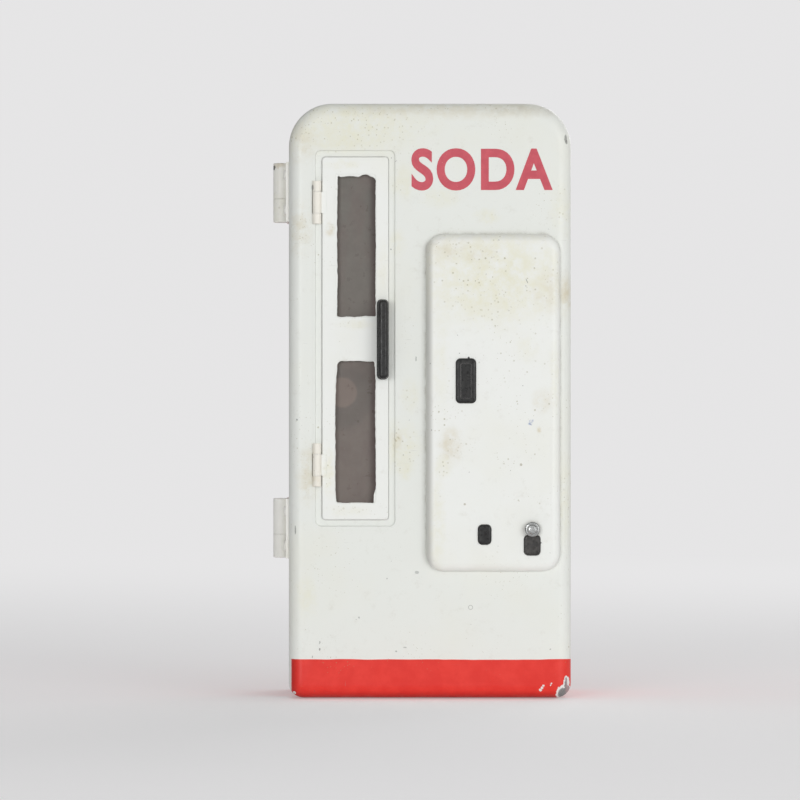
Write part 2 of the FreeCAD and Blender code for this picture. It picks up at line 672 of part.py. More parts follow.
class Insert:
    """A black plastic fitting that is held in the coin panel by a flange behind it."""

    def __init__(self, name, left, right, low, high, flange_above, rim, sunk):
        self.name = name
        self.edges = (left, right, low, high)
        self.flange_above = flange_above
        self.rim = rim
        self.sunk = sunk

    def outline(self, left_out, right_out, low_out, high_out, corner):
        left, right, low, high = self.edges
        return rounded_box(left - left_out, right + right_out, low - low_out, high + high_out,
                           corner, corner)

    def hole(self, gap):
        return self.outline(gap, gap, gap, gap, d.insert_corner + gap)

    def flange(self, gap):
        wide = d.flange_wide + gap
        return self.outline(wide, wide, wide, self.flange_above + gap, d.insert_round + gap)

    def make(self):
        body = new_body(self.name)
        front = PANEL_FRONT - d.insert_proud
        extrude(body, "block", "y", front, FRONT, self.hole(NONE))
        round_edges(body, "front_round", d.insert_round, in_plane("y", front))
        extrude(body, "flange", "y", FRONT - d.flange_thick, FRONT, self.flange(NONE))
        if self.sunk is not None:
            rim = -self.rim
            field = self.outline(rim, rim, rim, rim, d.insert_round)
            cut_away(body, "field", "y", front, front + self.sunk, field)
        return body


INSERTS = [
    Insert("coin_slot", d.slot_left, d.slot_right, d.slot_low, d.slot_high,
           d.flange_wide, d.slot_rim, d.slot_sunk),
    Insert("coin_return", d.return_left, d.return_right, d.return_low, d.return_high,
           d.flange_wide, None, None),
    Insert("lock_escutcheon", d.plate_left, d.plate_right, d.plate_low, d.plate_high,
           -d.flange_wide / 2, None, None),
]


def make_lock_knob():
    """The lock: a flanged head with a raised boss, on a shank pressed through panel and door."""
    knob = new_body("lock_knob")
    head_back = PANEL_FRONT - d.lock_lift
    head_front = head_back - d.lock_head_thick
    boss_front = head_front - d.lock_boss_thick
    extrude(knob, "head", "y", head_front, head_back, circles(LOCK, d.lock_head))
    round_edges(knob, "head_round", d.lock_edge, in_plane("y", head_front))
    extrude(knob, "boss", "y", boss_front, head_front, circles(LOCK, d.lock_boss))
    round_edges(knob, "boss_round", d.lock_edge, in_plane("y", boss_front))
    extrude(knob, "shank", "y", head_back, FACE_BACK + d.fit_gap, circles(LOCK, d.lock_shank))
    return knob


def make_door_liner():
    """The plate that closes the front door's back, with a collar round the bottle opening."""
    liner = new_body("door_liner")
    outline = rounded_box(
        -LINER_SIDE, LINER_SIDE, d.door_lift + d.case_wall + d.loose_gap, LINER_TOP,
        d.insert_corner, INNER_CORNER,
    )
    passage = box(PASSAGE.left, PASSAGE.right, PASSAGE.low, PASSAGE.high)
    collar = box(
        PASSAGE.left - d.collar_wall, PASSAGE.right + d.collar_wall,
        PASSAGE.low - d.collar_wall, PASSAGE.high + d.collar_wall,
    )
    extrude(liner, "plate", "y", LINER_FRONT, DOOR_BACK, outline)
    extrude(liner, "collar", "y", FACE_BACK, LINER_FRONT, collar)
    cut_away(liner, "passage", "y", FACE_BACK, DOOR_BACK, passage)
    cut_away(liner, "screw_holes", "y", LINER_FRONT, DOOR_BACK, circles(LINER_SCREWS, d.screw_shank))
    cut_away(liner, "head_recesses", "y", DOOR_BACK - d.screw_head_thick, DOOR_BACK,
             circles(LINER_SCREWS, d.screw_head + d.fit_gap))
    cut_away(liner, "strike_recess", "y", DOOR_BACK - d.strike_thick, DOOR_BACK,
             circles(CATCH, d.strike + d.fit_gap))
    return liner


def make_strike_disc():
    """The steel disc in the door liner that the cabinet's magnet pulls on."""
    disc = new_body("strike_disc")
    extrude(disc, "disc", "y", DOOR_BACK - d.strike_thick, DOOR_BACK, circles(CATCH, d.strike))
    return disc


def make_small_pin(name, middle):
    """One hinge pin of the bottle door."""
    pin = new_body(name)
    half = d.small_tall / 2
    extrude(pin, "rod", "z", middle - half, middle + half, circles([(SMALL_X, SMALL_Y)], d.small_pin))
    return pin


# ---------------------------------------------------------------- the bottle door

def make_bottle_door_leaf():
    """The bottle door's casting with its two windows, turning knuckles and posts for the pane."""
    leaf = new_body("bottle_door_leaf")
    blank = rounded_box(d.leaf_left, d.leaf_right, d.leaf_low, d.leaf_high,
                        d.leaf_corner, d.leaf_corner)
    extrude(leaf, "blank", "y", FRONT, LEAF_BACK, blank)
    round_edges(leaf, "front_round", d.leaf_round, in_plane("y", FRONT))
    bevel_edges(leaf, "back_bevel", d.leaf_bevel, in_plane("y", LEAF_BACK))
    windows = several(*[
        rounded_box(*window, d.window_corner, d.window_corner) for window in WINDOWS
    ])
    cut_away(leaf, "windows", "y", FRONT, LEAF_BACK, windows)
    axis = [(SMALL_X, SMALL_Y)]
    web = box(SMALL_X, d.leaf_left + d.small_barrel, SMALL_Y, SMALL_Y + d.web_back)
    for level, middle in SMALL_HEIGHTS.items():
        half = d.small_tall / 2 - d.small_end - d.knuckle_gap
        low = middle - half
        high = middle + half
        extrude(leaf, f"{level}_knuckle", "z", low, high, circles(axis, d.small_barrel))
        extrude(leaf, f"{level}_web", "z", low, high, web)
        cut_away(leaf, f"{level}_bore", "z", low, high, circles(axis, d.small_pin + d.running))
    extrude(leaf, "stakes", "y", LEAF_BACK, LEAF_BACK + d.stake_long, circles(STAKES, d.stake))
    cut_away(leaf, "handle_holes", "y", FRONT, LEAF_BACK, circles(HANDLE_PEGS, d.handle_peg))
    return leaf


def make_window_pane():
    """One smoked pane behind both windows."""
    pane = new_body("window_pane")
    plate = box(
        d.window_left - d.pane_margin, d.window_right + d.pane_margin,
        d.window_b_low - d.pane_margin, d.window_a_high + d.pane_margin,
    )
    extrude(pane, "plate", "y", LEAF_BACK, PANE_BACK, plate)
    cut_away(pane, "stake_holes", "y", LEAF_BACK, PANE_BACK, circles(STAKES, d.stake + d.fit_gap))
    return pane


def make_pull_handle():
    """The bottle door's handle: a base strip and a grip on two posts."""
    handle = new_body("pull_handle")
    base_front = FRONT - d.handle_base
    grip_front = FRONT - d.grip_proud
    grip_low = d.handle_low + d.grip_inset
    grip_high = d.handle_high - d.grip_inset
    grip_right = d.handle_right - d.grip_inset
    grip = rounded_box(d.grip_left, grip_right, grip_low, grip_high, d.grip_corner, d.grip_corner)
    extrude(handle, "grip", "y", grip_front, FRONT, grip)
    round_edges(handle, "grip_round", d.grip_round, in_plane("y", grip_front))
    finger_gap = box(grip_front + d.grip_deep, FRONT, grip_low + d.grip_post, grip_high - d.grip_post)
    cut_away(handle, "finger_gap", "x", d.grip_left, grip_right, finger_gap)
    strip = rounded_box(d.handle_left, d.handle_right, d.handle_low, d.handle_high,
                        d.handle_corner, d.handle_corner)
    extrude(handle, "base", "y", base_front, FRONT, strip)
    extrude(handle, "pegs", "y", FRONT, LEAF_BACK, circles(HANDLE_PEGS, d.handle_peg))
    return handle


# ---------------------------------------------------------------- the main hinges

def make_hinge_leaf(name, middle, side):
    """A main hinge's leaf: on the door (side -1, upper knuckle) or on the cabinet (1, lower)."""
    leaf = new_body(name)
    low = middle - d.hinge_tall / 2
    high = middle + d.hinge_tall / 2
    split = high - d.hinge_upper_part
    if side < 0:
        knuckle_low, knuckle_high = split + d.knuckle_gap / 2, high
        bore = d.hinge_pin + d.running
    else:
        knuckle_low, knuckle_high = low, split - d.knuckle_gap / 2
        bore = d.hinge_pin
    far = HINGE_Y + d.hinge_reach * side
    near = HINGE_Y + d.hinge_relief * side
    axis = [(HINGE_X, HINGE_Y)]
    extrude(leaf, "plate", "z", low, high, box(HINGE_LEAF_OUTSIDE, -HALF_WIDTH, far, near))
    extrude(leaf, "barrel", "z", knuckle_low, knuckle_high, circles(axis, d.hinge_barrel))
    outer_end = knuckle_high if side < 0 else knuckle_low
    round_edges(leaf, "end_round", d.hinge_edge, barrel_end(outer_end))
    extrude(leaf, "neck", "z", knuckle_low, knuckle_high,
            box(HINGE_LEAF_OUTSIDE, -HALF_WIDTH, near, HINGE_Y))
    cut_away(leaf, "bore", "z", knuckle_low, knuckle_high, circles(axis, bore))
    holes = [(y, z) for y, z in rivet_places(side) if abs(z.value - middle.value) < d.hinge_tall.value]
    cut_away(leaf, "rivet_holes", "x", HINGE_LEAF_OUTSIDE, -HALF_WIDTH, circles(holes, d.rivet_shank))
    return leaf


def barrel_end(position):
    """Picks the round edge at one end of a main hinge's barrel."""
    flat = in_plane("z", position)

    def chosen(bounds):
        return flat(bounds) and bounds.XMin < HINGE_LEAF_OUTSIDE.value - d.hinge_barrel.value

    return chosen


def make_hinge_pin(name, middle):
    """A main hinge's pin, flush with the ends of the barrel."""
    pin = new_body(name)
    half = d.hinge_tall / 2
    extrude(pin, "rod", "z", middle - half, middle + half, circles([(HINGE_X, HINGE_Y)], d.hinge_pin))
    return pin


def make_hinge_rivets(name, side):
    """The four rivets that hold one side's hinge leaves on its casting."""
    rivets = new_body(name)
    places = rivet_places(side)
    head_outside = HINGE_LEAF_OUTSIDE - d.rivet_dome
    extrude(rivets, "heads", "x", head_outside, HINGE_LEAF_OUTSIDE, circles(places, d.rivet_head))
    round_edges(rivets, "head_round", d.rivet_dome * 0.9, in_plane("x", head_outside))
    extrude(rivets, "shanks", "x", HINGE_LEAF_OUTSIDE, -HALF_WIDTH + d.rivet_long,
            circles(places, d.rivet_shank))
    return rivets


# ---------------------------------------------------------------- the cabinet

def make_cabinet_shell():
    """The cabinet's casting: a deep tray with ledges, bosses, a rear opening and a recessed base."""
    shell = new_body("cabinet_shell")
    extrude(shell, "blank", "y", CABINET_FRONT, REAR, case_outline(GROUND))
    round_edges(shell, "rear_round", d.rear_round, in_plane("y", REAR))
    cut_away(shell, "hollow", "y", CABINET_FRONT, BACK_WALL, cavity_outline(GROUND))
    inside = HALF_WIDTH - d.case_wall
    ledges = several(
        box(-HALF_WIDTH + d.case_wall / 2, -inside + d.ledge_wide, d.bay_low - d.ledge_tall, d.bay_low),
        box(inside - d.ledge_wide, HALF_WIDTH - d.case_wall / 2, d.bay_low - d.ledge_tall, d.bay_low),
    )
    extrude(shell, "ledges", "y", BAY_FRONT + d.bay_wall * 2, BACK_WALL, ledges)
    magnet_block = box(
        d.catch_x - d.magnet_boss, HALF_WIDTH - d.case_wall / 2,
        d.catch_z - d.magnet_boss, d.catch_z + d.magnet_boss,
    )
    extrude(shell, "magnet_boss", "y", CABINET_FRONT, CABINET_FRONT + d.magnet_boss_deep, magnet_block)
    cut_away(shell, "magnet_pocket", "y", CABINET_FRONT, CABINET_FRONT + d.magnet_long,
             circles(CATCH, d.magnet))
    opening = box(
        -d.cover_half + d.cover_border, d.cover_half - d.cover_border,
        d.cover_low + d.cover_border, d.cover_high - d.cover_border,
    )
    boss_front = BACK_WALL - d.cover_boss_long
    extrude(shell, "cover_bosses", "y", boss_front, BACK_WALL, circles(COVER_SCREWS, d.screw_boss))
    cut_away(shell, "rear_opening", "y", boss_front, REAR, opening)
    cut_away(shell, "cover_recess", "y", REAR - d.cover_thick, REAR, cover_outline(d.fit_gap))
    cut_away(shell, "cover_screw_holes", "y", REAR - d.cover_thick - d.screw_long, REAR,
             circles(COVER_SCREWS, d.screw_shank))
    cut_away(shell, "bay_screw_holes", "y", BACK_WALL, BAY_BACK - d.bay_wall + d.screw_long,
             circles(BAY_SCREWS, d.screw_shank))
    base_top = d.case_wall + d.base_boss_tall
    extrude(shell, "base_bosses", "z", d.case_wall / 2, base_top, circles(BASE_SCREWS, d.screw_boss))
    cut_away(shell, "plate_recess", "z", GROUND, d.plate_thick, plate_outline(d.fit_gap))
    cut_away(shell, "base_screw_holes", "z", GROUND, base_top - d.screw_slot,
             circles(BASE_SCREWS, d.screw_shank))
    cut_away(shell, "rivet_holes", "x", -HALF_WIDTH, -HALF_WIDTH + d.rivet_long,
             circles(rivet_places(1), d.rivet_shank))
    return shell


def plate_outline(gap):
    """The base plate seen from below, grown by a gap."""
    inset = d.plate_inset - gap
    return rounded_box(
        -HALF_WIDTH + inset, HALF_WIDTH - inset, CABINET_FRONT + inset, REAR - inset,
        d.plate_corner, d.plate_corner,
    )


def make_base_plate():
    """The plate let into the cabinet's underside, with recesses for its two screws."""
    plate = new_body("base_plate")
    extrude(plate, "plate", "z", GROUND, d.plate_thick, plate_outline(NONE))
    cut_away(plate, "screw_holes", "z", GROUND, d.plate_thick, circles(BASE_SCREWS, d.screw_shank))
    cut_away(plate, "head_recesses", "z", GROUND, d.screw_head_thick,
             circles(BASE_SCREWS, d.screw_head + d.fit_gap))
    return plate


def cover_outline(gap):
    """The rear cover seen from behind, grown by a gap."""
    return rounded_box(
        -d.cover_half - gap, d.cover_half + gap, d.cover_low - gap, d.cover_high + gap,
        d.cover_corner, d.cover_corner,
    )


def make_rear_cover():
    """The louvred cover over the opening low in the cabinet's back."""
    cover = new_body("rear_cover")
    front = REAR - d.cover_thick
    extrude(cover, "plate", "y", front, REAR, cover_outline(NONE))
    cut_away(cover, "screw_holes", "y", front, REAR, circles(COVER_SCREWS, d.screw_shank))
    top = d.louvre_first + d.louvre_tall
    slot = box(-d.louvre_half, d.louvre_half, d.louvre_first, top)
    first_slot = cut_away(cover, "louvre_slot", "y", front, REAR, slot)
    repeat_upwards(cover, "louvre_slots", [first_slot], d.louvre_pitch, d.louvre_count)
    hood = polygon([
        (front + d.hood_thick, top),
        (REAR + d.hood_out, d.louvre_first + d.hood_thick),
        (REAR + d.hood_out, d.louvre_first + d.hood_thick * 2.2),
        (front + d.hood_thick, top + d.hood_thick * 1.2),
    ])
    half = d.louvre_half + d.hood_thick
    first_hood = extrude(cover, "hood", "x", -half, half, hood)
    repeat_upwards(cover, "hoods", [first_hood], d.louvre_pitch, d.louvre_count)
    return cover


def make_bay_liner():
    """The moulded lining of the bottle bay: a tray with an apron that closes the space below it."""
    liner = new_body("bay_liner")
    tray = rounded_box(-LINER_SIDE, LINER_SIDE, d.bay_low, LINER_TOP, d.insert_corner, d.bay_corner)
    wall = d.bay_wall
    room = rounded_box(
        -LINER_SIDE + wall, LINER_SIDE - wall, d.bay_low + wall, LINER_TOP - wall,
        d.insert_corner, d.bay_corner - wall,
    )
    apron = box(-LINER_SIDE, LINER_SIDE, d.case_wall + d.loose_gap, d.bay_low + wall)
    extrude(liner, "tray", "y", BAY_FRONT, BAY_BACK, tray)
    cut_away(liner, "room", "y", BAY_FRONT, BAY_BACK - wall, room)
    extrude(liner, "apron", "y", BAY_FRONT, BAY_FRONT + wall, apron)
    cut_away(liner, "screw_holes", "y", BAY_BACK - wall, BAY_BACK, circles(BAY_SCREWS, d.screw_shank))
    return liner


def make_bottle_rack():
    """Two cheeks joined by sloping shelves."""
    rack = new_body("bottle_rack")
    floor = d.bay_low + d.bay_wall
    cheeks = several(
        box(d.rack_left, SHELF_LEFT, floor, d.rack_high),
        box(SHELF_RIGHT, d.rack_right, floor, d.rack_high),
    )
    extrude(rack, "cheeks", "y", RACK_FRONT, RACK_BACK, cheeks)
    bite = d.cheek_thick / 2
    dip = SHELF_GRADE * bite
    left_top = d.shelf_first - dip
    right_top = d.shelf_first + d.shelf_rise + dip
    shelf = extrude(rack, "shelf", "y", RACK_FRONT, RACK_BACK, polygon([
        (SHELF_LEFT - bite, left_top - d.shelf_thick),
        (SHELF_RIGHT + bite, right_top - d.shelf_thick),
        (SHELF_RIGHT + bite, right_top),
        (SHELF_LEFT - bite, left_top),
    ]))
    repeat_upwards(rack, "shelves", [shelf], d.shelf_pitch, d.shelf_count)
    return rack


BOTTLES_PER_SHELF = 5


def bottle_places():
    """Axes (x, z) of the bottles that lie on the first shelf, from the left."""
    first = d.bottle + d.bottle_play
    return [
        (SHELF_LEFT + first + d.bottle_pitch * index,
         d.shelf_first + first + SHELF_GRADE * (first + d.bottle_pitch * index))
        for index in range(BOTTLES_PER_SHELF)
    ]


def make_bottles():
    """The bottles, lying on the shelves with their mouths to the front."""
    bottles = new_body("bottles")
    end = MOUTH + d.bottle_long
    profile = [
        (NONE, MOUTH),
        (d.neck, MOUTH),
        (d.neck, MOUTH + d.crown_skirt),
        (d.neck_low, MOUTH + d.shoulder_start),
        (d.bottle * 0.9, MOUTH + d.shoulder_end - d.heel),
        (d.bottle, MOUTH + d.shoulder_end + d.heel),
        (d.bottle, end - d.heel),
        (d.bottle - d.heel, end),
        (NONE, end),
    ]
    row = [
        spin(bottles, f"bottle_{number}", centre, profile)
        for number, centre in enumerate(bottle_places(), start=1)
    ]
    repeat_upwards(bottles, "rows", row, d.shelf_pitch, d.shelf_count)
    return bottles


def make_crown_caps():
    """A crown cap on every bottle."""
    caps = new_body("crown_caps")
    profile = [
        (NONE, MOUTH - d.crown_thick),
        (d.crown_top, MOUTH - d.crown_thick),
        (d.crown, MOUTH + d.crown_skirt),
        (d.neck, MOUTH + d.crown_skirt),
        (d.neck, MOUTH),
        (NONE, MOUTH),
    ]
    row = [
        spin(caps, f"cap_{number}", centre, profile)
        for number, centre in enumerate(bottle_places(), start=1)
    ]
    repeat_upwards(caps, "rows", row, d.shelf_pitch, d.shelf_count)
    return caps


def make_catch_magnet():
    """The magnet that holds the front door shut."""
    magnet = new_body("catch_magnet")
    extrude(magnet, "rod", "y", CABINET_FRONT, CABINET_FRONT + d.magnet_long, circles(CATCH, d.magnet))
    return magnet


# ---------------------------------------------------------------- small screws

def make_screws(name, axis, seat, toward, centres):
    """Slotted screws: heads on the seat plane, shanks going the `toward` way (1 or -1) from it."""
    screws = new_body(name)
    tip = seat + d.screw_long * toward
    top = seat - d.screw_head_thick * toward
    slot_bottom = top + d.screw_slot_deep * toward
    half = d.screw_slot / 2
    slots = several(*[
        box(x - d.screw_head, x + d.screw_head, y - half, y + half) for x, y in centres
    ])
    extrude(screws, "heads", axis, *ordered(top, seat), circles(centres, d.screw_head))
    round_edges(screws, "head_round", d.screw_edge, in_plane(axis, top))
    cut_away(screws, "slots", axis, *ordered(top, slot_bottom), slots)
    extrude(screws, "shanks", axis, *ordered(seat, tip), circles(centres, d.screw_shank))
    return screws


def ordered(first, second):
    """Two positions, the smaller first."""
    return (first, second) if first.value < second.value else (second, first)


# ---------------------------------------------------------------- build, check, write

def make_all():
    """Every piece, in the order of the assembly."""
    pieces = [
        make_cabinet_shell(),
        make_bay_liner(),
        make_screws("bay_screws", "y", BAY_BACK - d.bay_wall, 1, BAY_SCREWS),
        make_bottle_rack(),
        make_bottles(),
        make_crown_caps(),
        make_base_plate(),
        make_screws("base_screws", "z", d.screw_head_thick, 1, BASE_SCREWS),
        make_rear_cover(),
        make_screws("rear_cover_screws", "y", REAR, -1, COVER_SCREWS),
        make_catch_magnet(),
        make_hinge_rivets("cabinet_hinge_rivets", 1),
        make_door_shell(),
        make_coin_panel(),
        make_lock_knob(),
        make_door_liner(),
        make_screws("door_liner_screws", "y", DOOR_BACK - d.screw_head_thick, -1, LINER_SCREWS),
        make_strike_disc(),
        make_hinge_rivets("door_hinge_rivets", -1),
        make_bottle_door_leaf(),
        make_window_pane(),
        make_pull_handle(),
    ]
    pieces += [insert.make() for insert in INSERTS]
    for level, middle in HINGE_HEIGHTS.items():
        pieces.append(make_hinge_leaf(f"{level}_hinge_door_leaf", middle, -1))
        pieces.append(make_hinge_leaf(f"{level}_hinge_cabinet_leaf", middle, 1))
        pieces.append(make_hinge_pin(f"{level}_hinge_pin", middle))
    for level, middle in SMALL_HEIGHTS.items():
        pieces.append(make_small_pin(f"{level}_bottle_door_pin", middle))
    return pieces


def check(pieces):
    """Stop if any object failed to rebuild or any piece is empty or invalid."""
    for item in document.Objects:
        if "Invalid" in item.State or "Error" in item.State:
            raise RuntimeError(f"{item.Name} ({item.Label}): {item.State}")
    for piece in pieces:
        shape = piece.Shape
        if shape.isNull() or not shape.isValid() or not shape.Solids:
            raise RuntimeError(f"{piece.Label}: empty or invalid shape")


def write(pieces):
    """One STEP file per piece."""
    os.makedirs("parts", exist_ok=True)
    for piece in pieces:
        piece.Shape.exportStep(f"parts/{piece.Label}.step")


pieces = make_all()
document.recompute()
check(pieces)
write(pieces)
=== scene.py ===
import json
import math

import bmesh
import bpy
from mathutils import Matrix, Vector, noise


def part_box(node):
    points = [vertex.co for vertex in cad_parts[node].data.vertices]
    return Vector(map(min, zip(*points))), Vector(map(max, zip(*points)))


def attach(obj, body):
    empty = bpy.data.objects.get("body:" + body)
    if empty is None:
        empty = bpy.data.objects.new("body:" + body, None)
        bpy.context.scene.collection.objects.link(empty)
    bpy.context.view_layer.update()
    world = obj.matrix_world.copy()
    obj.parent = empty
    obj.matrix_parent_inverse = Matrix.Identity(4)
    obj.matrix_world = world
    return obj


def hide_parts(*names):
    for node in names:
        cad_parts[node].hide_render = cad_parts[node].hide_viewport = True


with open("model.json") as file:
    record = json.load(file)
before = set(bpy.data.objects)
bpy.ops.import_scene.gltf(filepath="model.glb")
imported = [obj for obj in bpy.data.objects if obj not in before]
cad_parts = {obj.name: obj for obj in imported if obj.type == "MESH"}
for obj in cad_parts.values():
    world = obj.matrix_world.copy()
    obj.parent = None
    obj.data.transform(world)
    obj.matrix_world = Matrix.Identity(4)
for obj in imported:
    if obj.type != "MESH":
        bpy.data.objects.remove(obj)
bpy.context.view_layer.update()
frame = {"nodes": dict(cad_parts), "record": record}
nodes = frame["nodes"]

MM = 0.001


def mm_box(node):
    """A CAD node's lowest and highest corners, in millimetres."""
    low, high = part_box(node)
    return low / MM, high / MM


# ------------------------------------------------------------------ places taken from the frame

CASE_HIGH = mm_box("cabinet_shell")[1]
PANEL_LOW, PANEL_HIGH = mm_box("coin_panel")
LEAF_LOW, LEAF_HIGH = mm_box("bottle_door_leaf")
SLOT_LOW, SLOT_HIGH = mm_box("coin_slot")
PLATE_HIGH = mm_box("lock_escutcheon")[1]
PANE_FRONT = mm_box("window_pane")[0].y
CAPS_FRONT = mm_box("crown_caps")[0].y
KNOB_LOW, KNOB_HIGH = mm_box("lock_knob")
SMALL_PINS = [mm_box("upper_bottle_door_pin"), mm_box("lower_bottle_door_pin")]
MAIN_PINS = [mm_box("upper_hinge_pin"), mm_box("lower_hinge_pin")]

BACK, HEIGHT = CASE_HIGH.y, CASE_HIGH.z
FACE = -BACK
PANEL_FACE = PANEL_LOW.y

# Sizes of the CAD model that no box gives: the windows' sides, the gap round the bottle door, the gap between
# knuckles, the height of a small hinge's fixed knuckle and of a main hinge's upper one, and the width of the
# flange that holds a black insert.
WINDOW_LEFT, WINDOW_RIGHT = -9.2, -5.22
DOOR_GAP = 0.07
KNUCKLE_GAP = 0.04
FIXED_KNUCKLE = 1.0
UPPER_KNUCKLE = 3.5
FLANGE = 0.35

# The leaf's left side is found above its upper hinge, because the knuckles stand out of it.
ABOVE_HINGE = LEAF_HIGH.z - 1.5
leaf_points = [vertex.co / MM for vertex in nodes["bottle_door_leaf"].data.vertices]
LEAF_LEFT = min(point.x for point in leaf_points if point.z > ABOVE_HINGE)

WELD_DISTANCE = 1e-7


# ------------------------------------------------------------------ materials

class Graph:
    """One material's node tree, with lengths in millimetres of the piece's own space."""

    # The places of the two values among a mix node's inputs.
    NUMBERS = (2, 3)
    COLOURS = (6, 7)

    def __init__(self, name):
        self.material = bpy.data.materials.new(name)
        self.material.use_nodes = True
        self.tree = self.material.node_tree
        self.shader = self.tree.nodes["Principled BSDF"]
        coordinates = self.add("ShaderNodeTexCoord")
        scale = self.add("ShaderNodeVectorMath", operation="SCALE")
        self.tree.links.new(coordinates.outputs["Object"], scale.inputs[0])
        scale.inputs["Scale"].default_value = 1 / MM
        self.point = scale.outputs[0]
        split = self.add("ShaderNodeSeparateXYZ")
        self.tree.links.new(self.point, split.inputs[0])
        self.x, self.y, self.z = split.outputs

    def add(self, kind, **settings):
        node = self.tree.nodes.new(kind)
        for key, value in settings.items():
            setattr(node, key, value)
        return node

    def put(self, value, socket):
        """Link a socket, or set a plain value."""
        if isinstance(value, bpy.types.NodeSocket):
            self.tree.links.new(value, socket)
        elif isinstance(value, (tuple, list)) and socket.type == "RGBA":
            socket.default_value = (*value[:3], 1)
        else:
            socket.default_value = value

    def set(self, **values):
        """Set the shader's inputs, named with an underscore for each space."""
        for name, value in values.items():
            self.put(value, self.shader.inputs[name.replace("_", " ")])

    def math(self, operation, first, second=0.0, clamp=False):
        node = self.add("ShaderNodeMath", operation=operation, use_clamp=clamp)
        self.put(first, node.inputs[0])
        self.put(second, node.inputs[1])
        return node.outputs[0]

    def vector(self, operation, first, second):
        node = self.add("ShaderNodeVectorMath", operation=operation)
        self.put(first, node.inputs[0])
        self.put(second, node.inputs[1])
        return node.outputs["Value"] if operation == "LENGTH" else node.outputs[0]

    def mix(self, amount, first, second):
        """A colour between two others."""
        node = self.add("ShaderNodeMix", data_type="RGBA")
        self.put(amount, node.inputs["Factor"])
        for colour, place in zip((first, second), self.COLOURS):
            self.put(colour, node.inputs[place])
        return node.outputs[2]

    def lay(self, base, tint, mask, strength):
        """A base colour with a tint laid over it where the mask is 1."""
        return self.mix(self.math("MULTIPLY", mask, strength), base, tint)

    def blend(self, amount, first, second):
        """A number between two others."""
        node = self.add("ShaderNodeMix", data_type="FLOAT")
        self.put(amount, node.inputs["Factor"])
        for number, place in zip((first, second), self.NUMBERS):
            self.put(number, node.inputs[place])
        return node.outputs[0]

    def step(self, value, low, high, bottom=0.0, top=1.0):
        """A smooth rise from bottom to top as value goes from low to high."""
        node = self.add("ShaderNodeMapRange", interpolation_type="SMOOTHSTEP")
        if low > high:
            low, high, bottom, top = high, low, top, bottom
        self.put(value, node.inputs["Value"])
        for socket, number in zip(("From Min", "From Max", "To Min", "To Max"), (low, high, bottom, top)):
            node.inputs[socket].default_value = number
        return node.outputs["Result"]

    def noise(self, size, detail=3.0, roughness=0.55, stretch=(1, 1, 1), seed=0.0, colour=False):
        """Noise whose blobs are about `size` millimetres across, longer along axes with a stretch above 1."""
        place = self.vector("DIVIDE", self.point, tuple(size * s for s in stretch))
        place = self.vector("ADD", place, (seed, seed * 1.7, seed * 0.6))
        node = self.add("ShaderNodeTexNoise")
        self.put(place, node.inputs["Vector"])
        node.inputs["Scale"].default_value = 1.0
        node.inputs["Detail"].default_value = detail
        node.inputs["Roughness"].default_value = roughness
        return node.outputs["Color"] if colour else node.outputs["Fac"]

    def turned(self, angle):
        """The point turned about the Y axis, by an angle in degrees."""
        node = self.add("ShaderNodeVectorRotate", rotation_type="Y_AXIS")
        self.put(self.point, node.inputs["Vector"])
        node.inputs["Angle"].default_value = math.radians(angle)
        return node.outputs[0]

    def specks(self, spacing, size, share, seed=0.0, point=None, stretch=1.0):
        """Small specks in a share of the cells of a jittered grid, drawn out along Z by a stretch above 1."""
        place = self.vector("DIVIDE", point or self.point, (spacing, spacing, spacing * stretch))
        place = self.vector("ADD", place, (seed, -seed, seed * 2.3))
        node = self.add("ShaderNodeTexVoronoi")
        self.put(place, node.inputs["Vector"])
        node.inputs["Scale"].default_value = 1.0
        chosen = self.add("ShaderNodeSeparateColor")
        self.tree.links.new(node.outputs["Color"], chosen.inputs[0])
        present = self.math("LESS_THAN", chosen.outputs[0], share)
        radius = self.math("MULTIPLY", chosen.outputs[1], size / spacing)
        near = self.math("LESS_THAN", node.outputs["Distance"], radius)
        return self.math("MULTIPLY", present, near)

    def ragged(self, amount, size):
        """The point pushed about, so that spots get irregular edges."""
        push = self.vector("SUBTRACT", self.noise(size, 4.0, 0.65, seed=11.3, colour=True), (0.5, 0.5, 0.5))
        push = self.vector("MULTIPLY", push, (amount * 2, amount * 2, amount * 2))
        return self.vector("ADD", self.point, push)

    def ring(self, centre, radius, width):
        """1 on a thin circle in the XZ plane."""
        offset = self.vector("SUBTRACT", self.point, centre)
        length = self.vector("LENGTH", offset, (0, 0, 0))
        return self.step(self.math("ABSOLUTE", self.math("SUBTRACT", length, radius)), width, width * 0.4)

    def spot(self, place, centre, radii, soft=0.15):
        """1 inside an ellipsoid, falling to 0 over its soft rim."""
        offset = self.vector("SUBTRACT", place, centre)
        offset = self.vector("DIVIDE", offset, radii)
        return self.step(self.vector("LENGTH", offset, (0, 0, 0)), 1.0 + soft, 1.0 - soft)

    def any_of(self, masks):
        """The largest of several masks."""
        total = masks[0]
        for mask in masks[1:]:
            total = self.math("MAXIMUM", total, mask)
        return total

    def crevice(self, reach):
        """1 in corners and seams, 0 on open surfaces."""
        node = self.add("ShaderNodeAmbientOcclusion", samples=6)
        node.inputs["Distance"].default_value = reach * MM
        return self.step(node.outputs["AO"], 0.9, 0.45)

    def edge(self, radius):
        """1 on sharp convex edges, 0 on flat surfaces."""
        bevel = self.add("ShaderNodeBevel", samples=4)
        bevel.inputs["Radius"].default_value = radius * MM
        flat = self.add("ShaderNodeNewGeometry")
        node = self.add("ShaderNodeVectorMath", operation="DOT_PRODUCT")
        self.tree.links.new(bevel.outputs[0], node.inputs[0])
        self.tree.links.new(flat.outputs["Normal"], node.inputs[1])
        return self.step(node.outputs["Value"], 0.985, 0.8)

